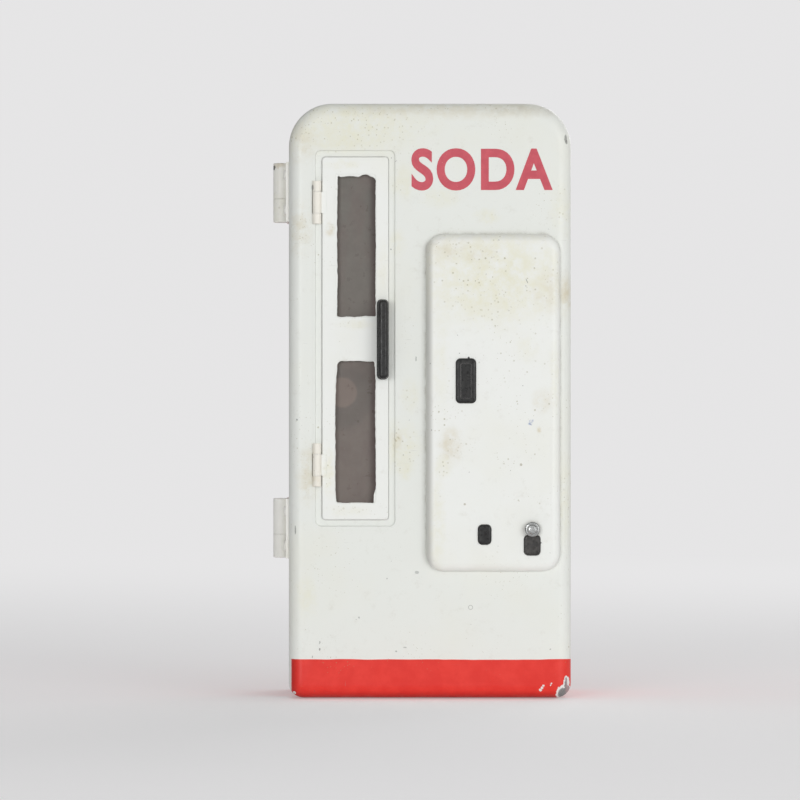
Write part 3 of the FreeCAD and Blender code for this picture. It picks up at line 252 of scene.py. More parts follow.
    def bump(self, height, depth, soft_edges=0.0):
        """Relief of `depth` millimetres for a height from 0 to 1, on edges softened by a small radius."""
        node = self.add("ShaderNodeBump")
        node.inputs["Strength"].default_value = 1.0
        node.inputs["Distance"].default_value = depth * MM
        self.put(height, node.inputs["Height"])
        if soft_edges:
            bevel = self.add("ShaderNodeBevel", samples=4)
            bevel.inputs["Radius"].default_value = soft_edges * MM
            self.tree.links.new(bevel.outputs[0], node.inputs["Normal"])
        self.set(Normal=node.outputs[0])


WHITE = (0.815, 0.835, 0.795)
BRIGHT = (0.865, 0.88, 0.85)
CREAM = (0.91, 0.905, 0.86)
YELLOWED = (0.80, 0.79, 0.66)
RED = (0.76, 0.036, 0.026)
PRIMER = (0.84, 0.82, 0.80)
ROSY = (0.62, 0.40, 0.42)
KNUCKLE = (0.88, 0.85, 0.77)
ZINC = (0.36, 0.355, 0.35)
DIRT = (0.34, 0.29, 0.19)
SOOT = (0.13, 0.125, 0.115)
TAN = (0.58, 0.48, 0.26)
BUFF = (0.78, 0.76, 0.56)
OLIVE = (0.36, 0.33, 0.20)
CORNER_DIRT_AND_SHADE = (0.40, 0.38, 0.32)
HAIR = (0.36, 0.35, 0.33)
BLACK = (0.02, 0.02, 0.02)

# To the right of this place, on the case's rounded edge, the bare metal is stained rosy.
ROSY_FROM = 13.05


def grime(g, base):
    """Clusters of fine tan dots, scattered dark dots and a few short fibres."""
    clusters = g.step(g.noise(4.2, 3.0, 0.55, seed=31.0), 0.50, 0.66)
    dots = g.any_of([g.specks(0.42, 0.095, 0.50, seed=2.0), g.specks(0.27, 0.055, 0.45, seed=17.0)])
    base = g.lay(base, OLIVE, g.math("MULTIPLY", dots, clusters), 0.50)
    base = g.lay(base, SOOT, g.specks(1.25, 0.085, 0.42, seed=7.0), 0.60)
    base = g.lay(base, DIRT, g.specks(2.9, 0.17, 0.22, seed=23.0), 0.55)
    fibres = g.any_of([
        g.specks(1.0, 0.060, 0.045, seed=3.0, point=g.turned(24), stretch=6.0),
        g.specks(1.0, 0.055, 0.045, seed=9.0, point=g.turned(-58), stretch=5.0),
        g.specks(1.0, 0.050, 0.035, seed=14.0, point=g.turned(3), stretch=7.0),
    ])
    return g.lay(base, SOOT, fibres, 0.55)


def enamel(name, colour, stains=(), chips=(), soots=(), rings=(), paint=None, seams=None, soft_edges=0.05):
    """Old gloss enamel on a casting: orange peel, yellowing, dots, fibres, stains, dirt, chips, and corners
    darkened by dirt and painted shade.

    Stains are (centre, radii, colour, strength), chips are (centre, radii, width of the primer border),
    soots are dark smudges, (centre, radii, darkness), and rings are (centre, radius).
    `paint` may repaint the base colour from the graph before the wear goes on, and `seams` gives how dark
    the corners get, from dirt and painted shade.
    """
    g = Graph(name)
    base = g.mix(g.step(g.noise(11.0, 3.0, 0.55, seed=3.1), 0.48, 0.72, 0.0, 0.24), colour, YELLOWED)
    base = g.mix(g.step(g.noise(1.1, 5.0, 0.7, seed=6.4), 0.56, 0.80, 0.0, 0.14), base, DIRT)
    if paint:
        base = paint(g, base)
    ragged = g.ragged(0.45, 0.8)
    for centre, radii, tint, strength in stains:
        inside = g.spot(ragged, centre, radii, 0.75)
        wash = g.step(g.noise(1.0, 4.0, 0.65, seed=centre[0]), 0.22, 0.74)
        base = g.lay(base, tint, g.math("MULTIPLY", inside, wash), strength * 0.7)
        dots = g.math("MULTIPLY", g.specks(0.36, 0.105, 0.55, seed=centre[2]), inside)
        base = g.lay(base, OLIVE, dots, strength * 0.6)
    base = grime(g, base)
    hair_a = g.noise(0.16, 2.0, 0.5, stretch=(16, 16, 1), seed=1.0)
    hair_b = g.noise(0.15, 2.0, 0.5, stretch=(1, 1, 18), seed=5.0)
    hairs = g.any_of([g.step(hair_a, 0.735, 0.79), g.step(hair_b, 0.745, 0.80)])
    hairs = g.math("MULTIPLY", hairs, g.step(g.noise(7.0, 2.0, 0.5, seed=8.8), 0.45, 0.6))
    base = g.lay(base, HAIR, hairs, 0.26)
    # Dirt and painted shade in the corners and seams.
    streaks = g.step(g.noise(1.3, 4.0, 0.65, seed=4.2), 0.38, 0.64, 0.15, 1.0)
    corners = g.math("MULTIPLY", g.crevice(0.5), streaks)
    if seams:
        corners = g.math("MULTIPLY", corners, seams(g))
    base = g.lay(base, CORNER_DIRT_AND_SHADE, corners, 0.60)
    roughness = g.step(g.noise(2.2, 4.0, 0.6, seed=9.0), 0.3, 0.75, 0.32, 0.52)
    height = g.blend(0.82, g.noise(0.42, 2.0, 0.5, seed=2.5), g.noise(2.6, 2.0, 0.45, seed=1.5))
    metallic = 0.0
    for centre, radius in rings:
        base = g.lay(base, (0.30, 0.30, 0.28), g.ring(centre, radius, 0.045), 0.6)
    for centre, radii, darkness in soots:
        mark = g.spot(g.ragged(0.10, 0.25), centre, radii, 0.2)
        base = g.lay(base, BLACK, mark, darkness)
    if chips:
        torn = g.ragged(0.22, 0.30)
        lips = [g.spot(torn, centre, [r + border for r in radii], 0.06) for centre, radii, border in chips]
        bares = [g.spot(torn, centre, radii, 0.10) for centre, radii, border in chips]
        lip, bare = g.any_of(lips), g.any_of(bares)
        grain = g.noise(0.12, 3.0, 0.7, seed=3.3)
        metal = g.mix(g.step(grain, 0.35, 0.7), ZINC, (0.25, 0.25, 0.25))
        metal = g.mix(g.step(g.x, ROSY_FROM, ROSY_FROM + 0.3, 0.0, 0.6), metal, ROSY)
        base = g.mix(lip, base, PRIMER)
        base = g.mix(bare, base, metal)
        roughness = g.blend(lip, roughness, 0.55)
        metallic = g.math("MULTIPLY", bare, 0.6)
        height = g.math("SUBTRACT", height, g.math("ADD", lip, bare))
    g.set(Base_Color=base, Roughness=roughness, Metallic=metallic)
    g.set(Specular_IOR_Level=0.27, Coat_Weight=0.03, Coat_Roughness=0.12)
    g.bump(height, 0.020, soft_edges)
    return g.material


def faint_seams(g):
    """Hardly any dirt or painted shade in the corners."""
    return g.step(g.noise(2.0, 2.0, 0.5, seed=19.0), 0.4, 0.6, 0.1, 0.3)


def panel_flank_shade(g, colour):
    """Painted shade: a grey film on the coin panel's left flank, and a thinner one on its upper flank."""
    flank_from, flank_to = 0.85, 0.15
    left_flank_shade = g.step(g.x, PANEL_LOW.x + flank_from, PANEL_LOW.x + flank_to, 0.0, 0.62)
    top_flank_shade = g.step(g.z, PANEL_HIGH.z - flank_from, PANEL_HIGH.z - flank_to, 0.0, 0.22)
    return g.mix(g.math("MAXIMUM", left_flank_shade, top_flank_shade), colour, (0.48, 0.475, 0.44))


def panel_seams(g):
    """Dirt and painted shade gather along the coin panel's left, right and upper sides, hardly at all
    elsewhere.
    """
    beside = g.step(g.x, -2.6, -1.2)
    above = g.step(g.z, 12.6, 17.0)
    return g.blend(g.math("MULTIPLY", beside, above), 0.12, 1.0)


def knuckles(g, colour):
    """Warmer paint on the knuckles of the bottle door."""
    radius, soft = 0.42, 0.05
    for low, high in SMALL_PINS:
        centre, half = (low + high) / 2, (high.z - low.z) / 2
        beside = g.math("ABSOLUTE", g.math("SUBTRACT", g.x, centre.x))
        beyond = g.math("ABSOLUTE", g.math("SUBTRACT", g.z, centre.z))
        inside = g.math("MULTIPLY", g.step(beside, radius + soft, radius), g.step(beyond, half + soft, half))
        colour = g.mix(inside, colour, KNUCKLE)
    return colour


def foot_band(g, colour):
    """Red below the foot line, with the slightly wavy edge of masked paint, and the warmer knuckles.

    The case's left side stays white. The red is painted darker at the left and at the bottom, as shade on the
    rounded edges.
    """
    foot_line, soft = 3.86, 0.04
    colour = knuckles(g, colour)
    wave = g.math("MULTIPLY", g.math("SUBTRACT", g.noise(3.5, 2.0, 0.5, seed=12.0), 0.5), 0.22)
    line = g.math("ADD", g.z, wave)
    shade = g.mix(g.step(g.noise(1.6, 4.0, 0.6, seed=14.0), 0.35, 0.7), RED, (0.82, 0.050, 0.036))
    # Painted shade: the red darkens towards the left and bottom edges.
    painted_edge_shade = g.math("MAXIMUM", g.step(g.x, -12.5, -13.4), g.step(g.z, 0.95, 0.15))
    shade = g.lay(shade, (0.46, 0.010, 0.008), painted_edge_shade, 0.7)
    round_the_edge = g.step(g.x, -13.55, -13.36)
    return g.lay(colour, shade, g.step(line, foot_line + soft, foot_line - soft), round_the_edge)


def red_sides(g, colour):
    """Red below the shoulder of the cabinet, with the soft edge of sprayed paint."""
    shoulder_line, soft = 49.0, 0.06
    wave = g.math("MULTIPLY", g.math("SUBTRACT", g.noise(4.5, 3.0, 0.55, seed=21.0), 0.5), 0.5)
    line = g.math("ADD", g.z, wave)
    shade = g.mix(g.step(g.noise(5.0, 4.0, 0.6, seed=15.0), 0.35, 0.7), RED, (0.60, 0.030, 0.024))
    return g.mix(g.step(line, shoulder_line + soft, shoulder_line - soft), colour, shade)


def black_plastic(name, dark=(0.010, 0.010, 0.010), light=(0.026, 0.026, 0.025)):
    """Black plastic or lacquer with clouds between two blacks, specks, a soft sheen, and greyed edges that
    are partly wear and partly a painted highlight.
    """
    g = Graph(name)
    cloud = g.noise(0.5, 4.0, 0.65, seed=1.0)
    base = g.mix(g.step(cloud, 0.35, 0.7), dark, light)
    # The edges are greyed partly as wear and partly as a painted highlight.
    worn = g.math("MULTIPLY", g.edge(0.14), g.step(g.noise(0.5, 4.0, 0.7, seed=3.0), 0.30, 0.60, 0.35, 1.0))
    base = g.lay(base, (0.22, 0.215, 0.21), worn, 0.75)
    base = g.lay(base, (0.30, 0.28, 0.26), g.specks(0.6, 0.05, 0.14, seed=4.0), 0.4)
    roughness = g.step(g.noise(0.3, 3.0, 0.6, seed=2.0), 0.3, 0.7, 0.24, 0.44)
    g.set(Base_Color=base, Roughness=roughness, Specular_IOR_Level=0.38)
    g.bump(g.noise(0.35, 2.0, 0.5, seed=6.0), 0.012, 0.10)
    return g.material


def turned_metal(name, colour, axis_centre=None, rim_highlight=0.3):
    """Metal with tarnish, painted corner shade and painted edge highlights: with turning rings round a centre
    if it has one, else brushed.
    """
    g = Graph(name)
    radians_per_mm = 70.0
    if axis_centre:
        offset = g.vector("SUBTRACT", g.point, axis_centre)
        offset = g.vector("MULTIPLY", offset, (1, 0, 1))
        rings = g.math("SINE", g.math("MULTIPLY", g.vector("LENGTH", offset, (0, 0, 0)), radians_per_mm))
        lines = g.math("MULTIPLY_ADD", rings, 0.5)
    else:
        lines = g.noise(0.05, 3.0, 0.6, stretch=(1, 1, 12), seed=2.0)
    tarnish = g.noise(0.6, 4.0, 0.65, seed=5.0)
    base = g.mix(g.step(tarnish, 0.42, 0.75, 0.0, 0.7), colour, tuple(c * 0.45 for c in colour))
    # Painted shade in corners and seams, and a painted highlight on the sharp edges.
    base = g.lay(base, (0.06, 0.055, 0.05), g.crevice(0.35), 0.7)
    base = g.lay(base, (0.92, 0.92, 0.90), g.edge(0.07), rim_highlight)
    g.set(Base_Color=base, Metallic=1.0, Roughness=g.step(tarnish, 0.3, 0.8, 0.24, 0.5))
    g.bump(g.blend(0.5, lines, g.noise(0.2, 3.0, 0.6, seed=8.0)), 0.005, 0.06)
    return g.material


def moulded_plastic(name, colour, shade, roughness=(0.42, 0.62)):
    """Moulded plastic with a fine grain, flow clouds, specks and painted shade in the corners."""
    g = Graph(name)
    base = g.mix(g.step(g.noise(6.0, 4.0, 0.6, seed=1.0), 0.35, 0.75), colour, shade)
    # Painted shade: a darker copy of the plastic's colour in corners and seams.
    base = g.lay(base, tuple(c * 0.45 for c in shade), g.crevice(0.9), 0.5)
    base = g.lay(base, DIRT, g.specks(1.4, 0.10, 0.2, seed=5.0), 0.4)
    g.set(Base_Color=base, Roughness=g.step(g.noise(1.2, 3.0, 0.6, seed=2.0), 0.3, 0.7, *roughness))
    g.bump(g.noise(0.16, 2.0, 0.5, seed=3.0), 0.012, 0.06)
    return g.material


def smoked_pane(name):
    """Hazy smoked plastic: greener above, browner below, with streaks, dust and one pale round mark.

    A shadow is painted along its right edge, where the handle's side shades it.
    """
    g = Graph(name)
    height = g.step(g.z, LEAF_LOW.z, LEAF_HIGH.z)
    base = g.mix(height, (0.186, 0.154, 0.136), (0.158, 0.150, 0.132))
    streaks = g.step(g.noise(2.4, 4.0, 0.6, stretch=(1, 1, 2.2), seed=2.0), 0.35, 0.72)
    base = g.mix(streaks, base, (0.166, 0.134, 0.120))
    haze = g.step(g.noise(0.5, 4.0, 0.65, seed=5.0), 0.35, 0.75, 0.0, 0.35)
    base = g.mix(haze, base, (0.196, 0.176, 0.160))
    mark = (-8.55, PANE_FRONT, 29.74)
    below_mark = (mark[0], mark[1], mark[2] - 0.5)
    halo = g.spot(g.ragged(0.25, 1.2), below_mark, (3.0, 9, 3.0), 0.16)
    disc = g.spot(g.ragged(0.12, 0.8), mark, (1.47, 9, 1.47), 0.10)
    base = g.lay(base, (0.128, 0.118, 0.106), halo, 0.45)
    base = g.lay(base, (0.232, 0.184, 0.160), disc, 0.75)
    # Painted shadow: dark red-brown along the windows' right edges.
    shade = g.step(g.x, WINDOW_RIGHT - 0.85, WINDOW_RIGHT - 0.05)
    base = g.lay(base, (0.060, 0.022, 0.024), shade, 0.55)
    base = g.lay(base, (0.34, 0.31, 0.27), g.specks(0.7, 0.06, 0.3, seed=9.0), 0.45)
    g.set(Base_Color=base, Roughness=g.step(g.noise(0.9, 4.0, 0.6, seed=6.0), 0.3, 0.7, 0.26, 0.44))
    g.set(IOR=1.45, Alpha=g.step(g.noise(2.5, 3.0, 0.5, seed=7.0), 0.3, 0.7, 0.88, 0.95))
    g.bump(g.noise(0.5, 3.0, 0.55, seed=8.0), 0.01)
    return g.material


def bottle_glass(name):
    """Clear plastic bottles filled dark, with a painted band round the body."""
    g = Graph(name)
    depth = g.math("SUBTRACT", g.y, CAPS_FRONT)
    drink = g.mix(g.step(depth, 1.6, 1.9), (0.30, 0.36, 0.29), (0.055, 0.018, 0.008))
    band = g.math("MULTIPLY", g.step(depth, 4.7, 4.75), g.step(depth, 6.3, 6.25))
    stripe = g.math("MULTIPLY", g.step(depth, 5.2, 5.25), g.step(depth, 5.8, 5.75))
    scuffs = g.step(g.noise(0.4, 4.0, 0.7, seed=2.0), 0.62, 0.70)
    base = g.mix(band, drink, (0.78, 0.76, 0.70))
    base = g.mix(stripe, base, (0.55, 0.05, 0.04))
    base = g.lay(base, (0.50, 0.48, 0.44), scuffs, 0.35)
    g.set(Base_Color=base, Roughness=g.blend(band, 0.07, 0.35))
    g.set(Transmission_Weight=g.math("MULTIPLY", g.step(depth, 1.9, 1.6), 0.8))
    g.bump(g.noise(0.8, 2.0, 0.5, seed=4.0), 0.03)
    return g.material


def crown_metal(name):
    """Lithographed crowns: red tops, bare crimped rims, small scratches."""
    g = Graph(name)
    depth = g.math("SUBTRACT", g.y, CAPS_FRONT)
    scratch = g.step(g.noise(0.10, 3.0, 0.6, stretch=(5, 1, 1), seed=3.0), 0.64, 0.70)
    red = g.mix(g.step(g.noise(0.7, 3.0, 0.6, seed=1.0), 0.35, 0.7), (0.60, 0.06, 0.04), (0.45, 0.035, 0.03))
    bare = g.math("MAXIMUM", g.step(depth, 0.20, 0.26), g.math("MULTIPLY", scratch, 0.6))
    base = g.mix(bare, red, (0.62, 0.60, 0.55))
    g.set(Base_Color=base, Metallic=bare, Roughness=g.blend(bare, 0.30, 0.38))
    g.bump(g.noise(0.2, 3.0, 0.6, seed=5.0), 0.02)
    return g.material


def magnet_stone(name):
    """Dark sintered magnet with a ground face."""
    g = Graph(name)
    grain = g.noise(0.08, 4.0, 0.7, seed=2.0)
    base = g.mix(g.step(grain, 0.35, 0.7), (0.045, 0.045, 0.048), (0.10, 0.10, 0.105))
    base = g.lay(base, (0.22, 0.22, 0.22), g.edge(0.08), 0.6)
    g.set(Base_Color=base, Roughness=g.step(grain, 0.3, 0.7, 0.45, 0.7), Metallic=0.35)
    g.bump(grain, 0.02, 0.05)
    return g.material


def lettering_paint(name):
    """Thin printed red, worn through in small specks."""
    g = Graph(name)
    cloud = g.step(g.noise(0.9, 4.0, 0.6, seed=3.0), 0.35, 0.7)
    base = g.mix(cloud, (0.56, 0.075, 0.105), (0.63, 0.095, 0.125))
    worn = g.step(g.noise(0.16, 4.0, 0.75, seed=6.0), 0.66, 0.70)
    base = g.lay(base, WHITE, worn, 0.6)
    g.set(Base_Color=base, Roughness=0.32)
    g.bump(g.noise(0.3, 3.0, 0.5, seed=2.0), 0.006)
    return g.material


# ------------------------------------------------------------------ wear, placed in millimetres

# What the entries of these lists mean is said at enamel().

DOOR_STAINS = [
    ((-3.0, FACE, 24.5), (1.7, 2, 2.0), BUFF, 0.80),
    ((-3.3, FACE, 25.1), (0.5, 2, 0.8), TAN, 0.55),
    ((-2.4, FACE, 22.2), (0.7, 2, 0.8), BUFF, 0.80),
    ((-12.5, FACE, 54.0), (1.4, 3, 1.9), TAN, 0.50),
    ((-9.0, FACE, 53.9), (1.8, 2, 0.9), BUFF, 0.60),
    ((-7.5, FACE, 55.6), (6.0, 2, 2.2), BUFF, 0.80),
    ((-12.5, FACE, 45.6), (0.9, 2, 2.2), TAN, 0.50),
    ((-11.8, FACE, 21.8), (0.9, 2, 2.2), TAN, 0.60),
    ((-12.0, FACE, 10.0), (0.8, 2, 1.6), BUFF, 0.55),
    ((-1.9, FACE, 29.5), (0.7, 2, 1.4), BUFF, 0.50),
    ((-3.2, FACE, 44.2), (0.7, 2, 1.2), BUFF, 0.50),
    ((-2.6, FACE, 50.0), (1.0, 2, 1.5), BUFF, 0.60),
    ((1.0, FACE, 48.7), (1.6, 2, 0.9), BUFF, 0.50),
    ((5.6, FACE, 46.8), (1.0, 2, 0.6), BUFF, 0.70),
    ((13.2, FACE, 39.2), (0.7, 3, 1.6), TAN, 0.75),
    ((13.0, FACE, 19.0), (0.9, 3, 3.6), BUFF, 0.55),
    ((12.8, FACE, 47.5), (1.0, 3, 2.2), BUFF, 0.50),
    ((2.0, FACE, 57.2), (9.0, 3, 0.8), TAN, 0.45),
    ((9.0, FACE, 57.2), (3.5, 3, 0.6), DIRT, 0.40),
]
DOOR_CHIPS = [
    ((12.92, FACE + 0.5, 0.52), (0.48, 1.5, 0.60), 0.24),
    ((13.22, FACE + 0.6, 1.35), (0.17, 0.9, 0.80), 0.17),
    ((13.32, FACE + 0.8, 0.70), (0.26, 0.8, 0.72), 0.10),
    ((10.72, FACE, 0.86), (0.001, 0.1, 0.001), 0.16),
    ((10.87, FACE, 1.10), (0.001, 0.1, 0.001), 0.14),
    ((10.99, FACE, 1.32), (0.001, 0.1, 0.001), 0.09),
    ((11.73, FACE, 1.38), (0.001, 0.1, 0.001), 0.08),
    ((11.78, FACE, 1.52), (0.001, 0.1, 0.001), 0.07),
    ((-13.2, FACE + 0.6, 0.55), (0.10, 0.4, 0.06), 0.12),
    ((-13.7, FACE + 1.9, 33.0), (0.15, 0.12, 0.34), 0.08),
    ((13.7, FACE + 3.2, 22.0), (0.15, 0.10, 0.28), 0.08),
    ((13.7, FACE + 2.6, 44.5), (0.15, 0.16, 0.08), 0.07),
]
DOOR_SOOTS = [
    ((13.16, FACE + 0.3, 54.32), (0.13, 0.6, 0.42), 0.52),
    ((13.26, FACE + 0.3, 54.02), (0.10, 0.6, 0.22), 0.52),
    ((-13.05, FACE + 0.2, 16.4), (0.07, 0.5, 0.42), 0.50),
    ((-12.9, FACE, 27.1), (0.10, 0.3, 0.10), 0.55),
    ((-10.68, FACE, 5.50), (0.06, 0.3, 0.16), 0.45),
    ((-10.68, FACE, 4.85), (0.07, 0.3, 0.14), 0.60),
    ((-11.40, FACE, 4.10), (0.05, 0.3, 0.14), 0.40),
    ((-3.29, FACE, 4.64), (0.11, 0.3, 0.06), 0.45),
    ((-2.42, FACE, 5.03), (0.16, 0.3, 0.06), 0.40),
    ((-6.87, FACE, 7.93), (0.08, 0.3, 0.08), 0.40),
    ((-1.26, FACE, 12.30), (0.20, 0.3, 0.14), 0.35),
    ((-4.16, FACE, 11.70), (0.08, 0.3, 0.08), 0.35),
    ((11.70, FACE, 4.84), (0.10, 0.3, 0.06), 0.45),
    ((-1.35, FACE, 33.00), (0.06, 0.3, 0.24), 0.55),
    ((-3.77, FACE, 43.60), (0.09, 0.3, 0.09), 0.50),
]
DOOR_RINGS = [((3.94, FACE, 8.9), 0.20)]
PANEL_STAINS = [
    ((2.0, PANEL_FACE, 24.6), (0.9, 2, 1.5), TAN, 0.65),
    ((1.3, PANEL_FACE, 22.6), (0.7, 2, 0.9), BUFF, 0.70),
    ((1.0, PANEL_FACE, 33.0), (0.7, 2, 5.0), BUFF, 0.35),
    ((0.7, PANEL_FACE, 17.0), (0.6, 2, 4.5), BUFF, 0.50),
    ((11.4, PANEL_FACE, 39.6), (1.3, 2, 1.7), TAN, 0.45),
    ((6.2, PANEL_FACE, 41.2), (6.2, 2, 4.0), BUFF, 0.95),
    ((5.4, PANEL_FACE, 38.6), (3.0, 2, 1.6), BUFF, 0.50),
    ((3.2, PANEL_FACE, 43.4), (2.4, 2, 0.8), TAN, 0.35),
    ((1.0, PANEL_FACE, 43.6), (1.2, 2, 1.2), TAN, 0.25),
    ((9.3, PANEL_FACE, 34.0), (0.9, 2, 1.0), BUFF, 0.45),
    ((10.9, PANEL_FACE, 28.9), (0.9, 2, 1.0), TAN, 0.42),
    ((12.1, PANEL_FACE, 31.5), (0.4, 2, 3.0), BUFF, 0.50),
    ((10.6, PANEL_FACE, 26.1), (0.22, 1, 0.22), TAN, 0.90),
]
PEN = (0.10, 0.17, 0.44)
PEN_MARKS = [
    ((9.62, PANEL_FACE, 26.72), (0.16, 1, 0.12), PEN, 1.0),
    ((9.82, PANEL_FACE, 26.98), (0.13, 1, 0.12), PEN, 0.9),
    ((9.55, PANEL_FACE, 26.98), (0.05, 1, 0.10), PEN, 0.6),
]

# The black marks where paint has broken away beside the coin slot and beside the lock's plate.
SPIKE = ((SLOT_LOW.x + SLOT_HIGH.x) / 2 + 0.27, PANEL_FACE, SLOT_HIGH.z - FLANGE)
NICK = (PLATE_HIGH.x - FLANGE, PANEL_FACE, 15.2)
LEAF_STAINS = [
    ((-8.4, FACE, 51.8), (1.4, 2, 0.4), BUFF, 0.50),
    ((-9.7, FACE, 45.6), (0.4, 2, 0.6), TAN, 0.75),
    ((-4.6, FACE, 42.0), (0.4, 2, 2.2), BUFF, 0.35),
    ((-7.2, FACE, 36.3), (1.4, 2, 0.4), BUFF, 0.45),
    ((-9.8, FACE, 22.0), (0.5, 2, 1.9), BUFF, 0.75),
    ((-8.0, FACE, 18.3), (1.8, 2, 0.5), BUFF, 0.35),
]
HINGE_STAINS = [
    ((-14.5, -4.7, 52.0), (0.9, 2, 0.25), (0.50, 0.40, 0.22), 0.80),
    ((-14.9, -4.7, 48.0), (0.5, 2, 3.0), BUFF, 0.40),
]
HINGE_SOOTS = [((-15.2, -4.2, 51.7), (0.14, 0.8, 0.22), 0.8)]
SMALL_HINGE_SOOTS = [((-11.36, FACE - 0.1, 49.55), (0.10, 0.5, 0.30), 0.55)]
CABINET_CHIPS = [
    ((13.6, BACK - 0.5, 57.0), (0.6, 0.7, 0.6), 0.2),
    ((-13.6, BACK - 0.4, 1.0), (0.5, 0.7, 0.7), 0.2),
    ((13.7, BACK - 0.2, 1.4), (0.4, 0.6, 0.9), 0.2),
    ((13.7, 2.0, 30.0), (0.2, 0.30, 0.10), 0.09),
    ((-6.0, BACK, 38.0), (0.22, 0.2, 0.08), 0.09),
    ((4.5, BACK, 47.2), (0.08, 0.2, 0.20), 0.09),
    ((-13.7, 4.5, 26.0), (0.2, 0.08, 0.24), 0.09),
    ((7.0, 0.5, HEIGHT), (0.20, 0.10, 0.2), 0.09),
]
CABINET_STAINS = [
    ((-3.0, BACK, 30.0), (5.0, 2, 6.0), (0.36, 0.03, 0.02), 0.35),
    ((6.0, BACK, 53.0), (3.0, 2, 2.0), TAN, 0.35),
    ((0.0, 2.0, HEIGHT), (7.0, 4.0, 1.0), BUFF, 0.50),
]

MATERIALS = {
    "cabinet_paint": enamel("cabinet_enamel", WHITE, CABINET_STAINS, CABINET_CHIPS, paint=red_sides),
    "door_paint": enamel("door_enamel", WHITE, DOOR_STAINS, DOOR_CHIPS,
                         DOOR_SOOTS + SMALL_HINGE_SOOTS, DOOR_RINGS, paint=foot_band, seams=panel_seams),
    "panel_paint": enamel("panel_enamel", BRIGHT, PANEL_STAINS + PEN_MARKS, (),
                          [(SPIKE, (0.11, 0.5, 0.19), 0.95), (NICK, (0.12, 0.5, 0.11), 0.9)],
                          paint=panel_flank_shade, seams=panel_seams),
    "leaf_paint": enamel("leaf_enamel", BRIGHT, LEAF_STAINS, paint=knuckles, seams=panel_seams),
    "hinge_paint": enamel("hinge_enamel", CREAM, HINGE_STAINS, (), HINGE_SOOTS, seams=faint_seams),
    "bare_steel": turned_metal("bare_steel", (0.56, 0.55, 0.53)),
    "plated_steel": turned_metal("plated_steel", (0.66, 0.65, 0.62)),
    "knob_metal": turned_metal("knob_metal", (0.43, 0.44, 0.435), tuple((KNOB_LOW + KNOB_HIGH) / 2), 0.8),
    "black_plastic": black_plastic("black_plastic"),
    "smoke_pane": smoked_pane("smoked_pane"),
    "liner_plastic": moulded_plastic("liner_plastic", (0.56, 0.54, 0.49), (0.48, 0.46, 0.41)),
    "rack_plastic": moulded_plastic("rack_plastic", (0.30, 0.045, 0.035), (0.22, 0.035, 0.03)),
    "bottle_glass": bottle_glass("bottle_glass"),
    "cap_metal": crown_metal("crown_metal"),
    "base_metal": black_plastic("black_lacquer"),
    "worn_plastic": black_plastic("worn_plastic", (0.028, 0.027, 0.026), (0.068, 0.064, 0.060)),
    "magnet": magnet_stone("magnet_stone"),
    "seal": moulded_plastic("seal_rubber", (0.80, 0.80, 0.78), (0.72, 0.72, 0.69)),
    "lettering": lettering_paint("lettering_red"),
}

# The nodes whose finish differs from the rest of their material slot.
OWN_FINISH = {"bottle_door_leaf": "leaf_paint", "lock_knob": "knob_metal", "lock_escutcheon": "worn_plastic"}

slot_of = {part["node"]: part["material_slot"] for part in frame["record"]["subparts"]}
for name, piece in nodes.items():
    piece.data.materials.clear()
    piece.data.materials.append(MATERIALS[OWN_FINISH.get(name, slot_of[name])])


# ------------------------------------------------------------------ pieces modelled here

def new_object(name, data):
    """A new object in this scene."""
    made = bpy.data.objects.new(name, data)
    bpy.context.scene.collection.objects.link(made)
    return made


def shade_smooth(mesh):
    """Smooth shading on all faces."""
    for polygon in mesh.polygons:
        polygon.use_smooth = True


def mesh_of(name, work, closed=True):
    """The mesh of a finished bmesh; the faces of a closed one are turned outwards."""
    if closed:
        bmesh.ops.recalc_face_normals(work, faces=work.faces)
    mesh = bpy.data.meshes.new(name)
    work.to_mesh(mesh)
    work.free()
    return mesh


def add_piece(name, mesh, body, material):
    """A finished mesh as a piece that rides on a body."""
    piece = new_object(name, mesh)
    mesh.materials.append(MATERIALS[material])
    shade_smooth(mesh)
    mesh.set_sharp_from_angle(angle=math.radians(35))
    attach(piece, body)
    return piece


def circle(work, centre, radius, around):
    """A level ring of new points, all in millimetres."""
    x, y, z = centre
    ring = []
    for index in range(around):
        angle = 2 * math.pi * index / around
        point = Vector((x + radius * math.cos(angle), y + radius * math.sin(angle), z))
        ring.append(work.verts.new(point * MM))
    return ring


def fan(work, centre, ring):
    """Triangles from one point to a ring."""
    for place, point in enumerate(ring):
        work.faces.new((centre, point, ring[(place + 1) % len(ring)]))


def skin(work, rings, closed=False):
    """Faces between neighbouring rings of points, and from the last ring to the first if closed."""
    following = rings[1:] + rings[:1] if closed else rings[1:]
    for ring, beyond in zip(rings, following):
        for place in range(len(ring)):
            after = (place + 1) % len(ring)
            work.faces.new((ring[place], beyond[place], beyond[after], ring[after]))


def resampled(points, count):
    """`count` evenly spaced points along an open polyline, without its last point."""
    lengths = [math.dist(a, b) for a, b in zip(points, points[1:])]
    total = sum(lengths)
    result = []
    for index in range(count):
        along = total * index / count
        place = 0
        while along > lengths[place]:
            along -= lengths[place]
            place += 1
        share = along / lengths[place]
        start, end = points[place], points[place + 1]
        result.append((start[0] + (end[0] - start[0]) * share, start[1] + (end[1] - start[1]) * share))
    return result


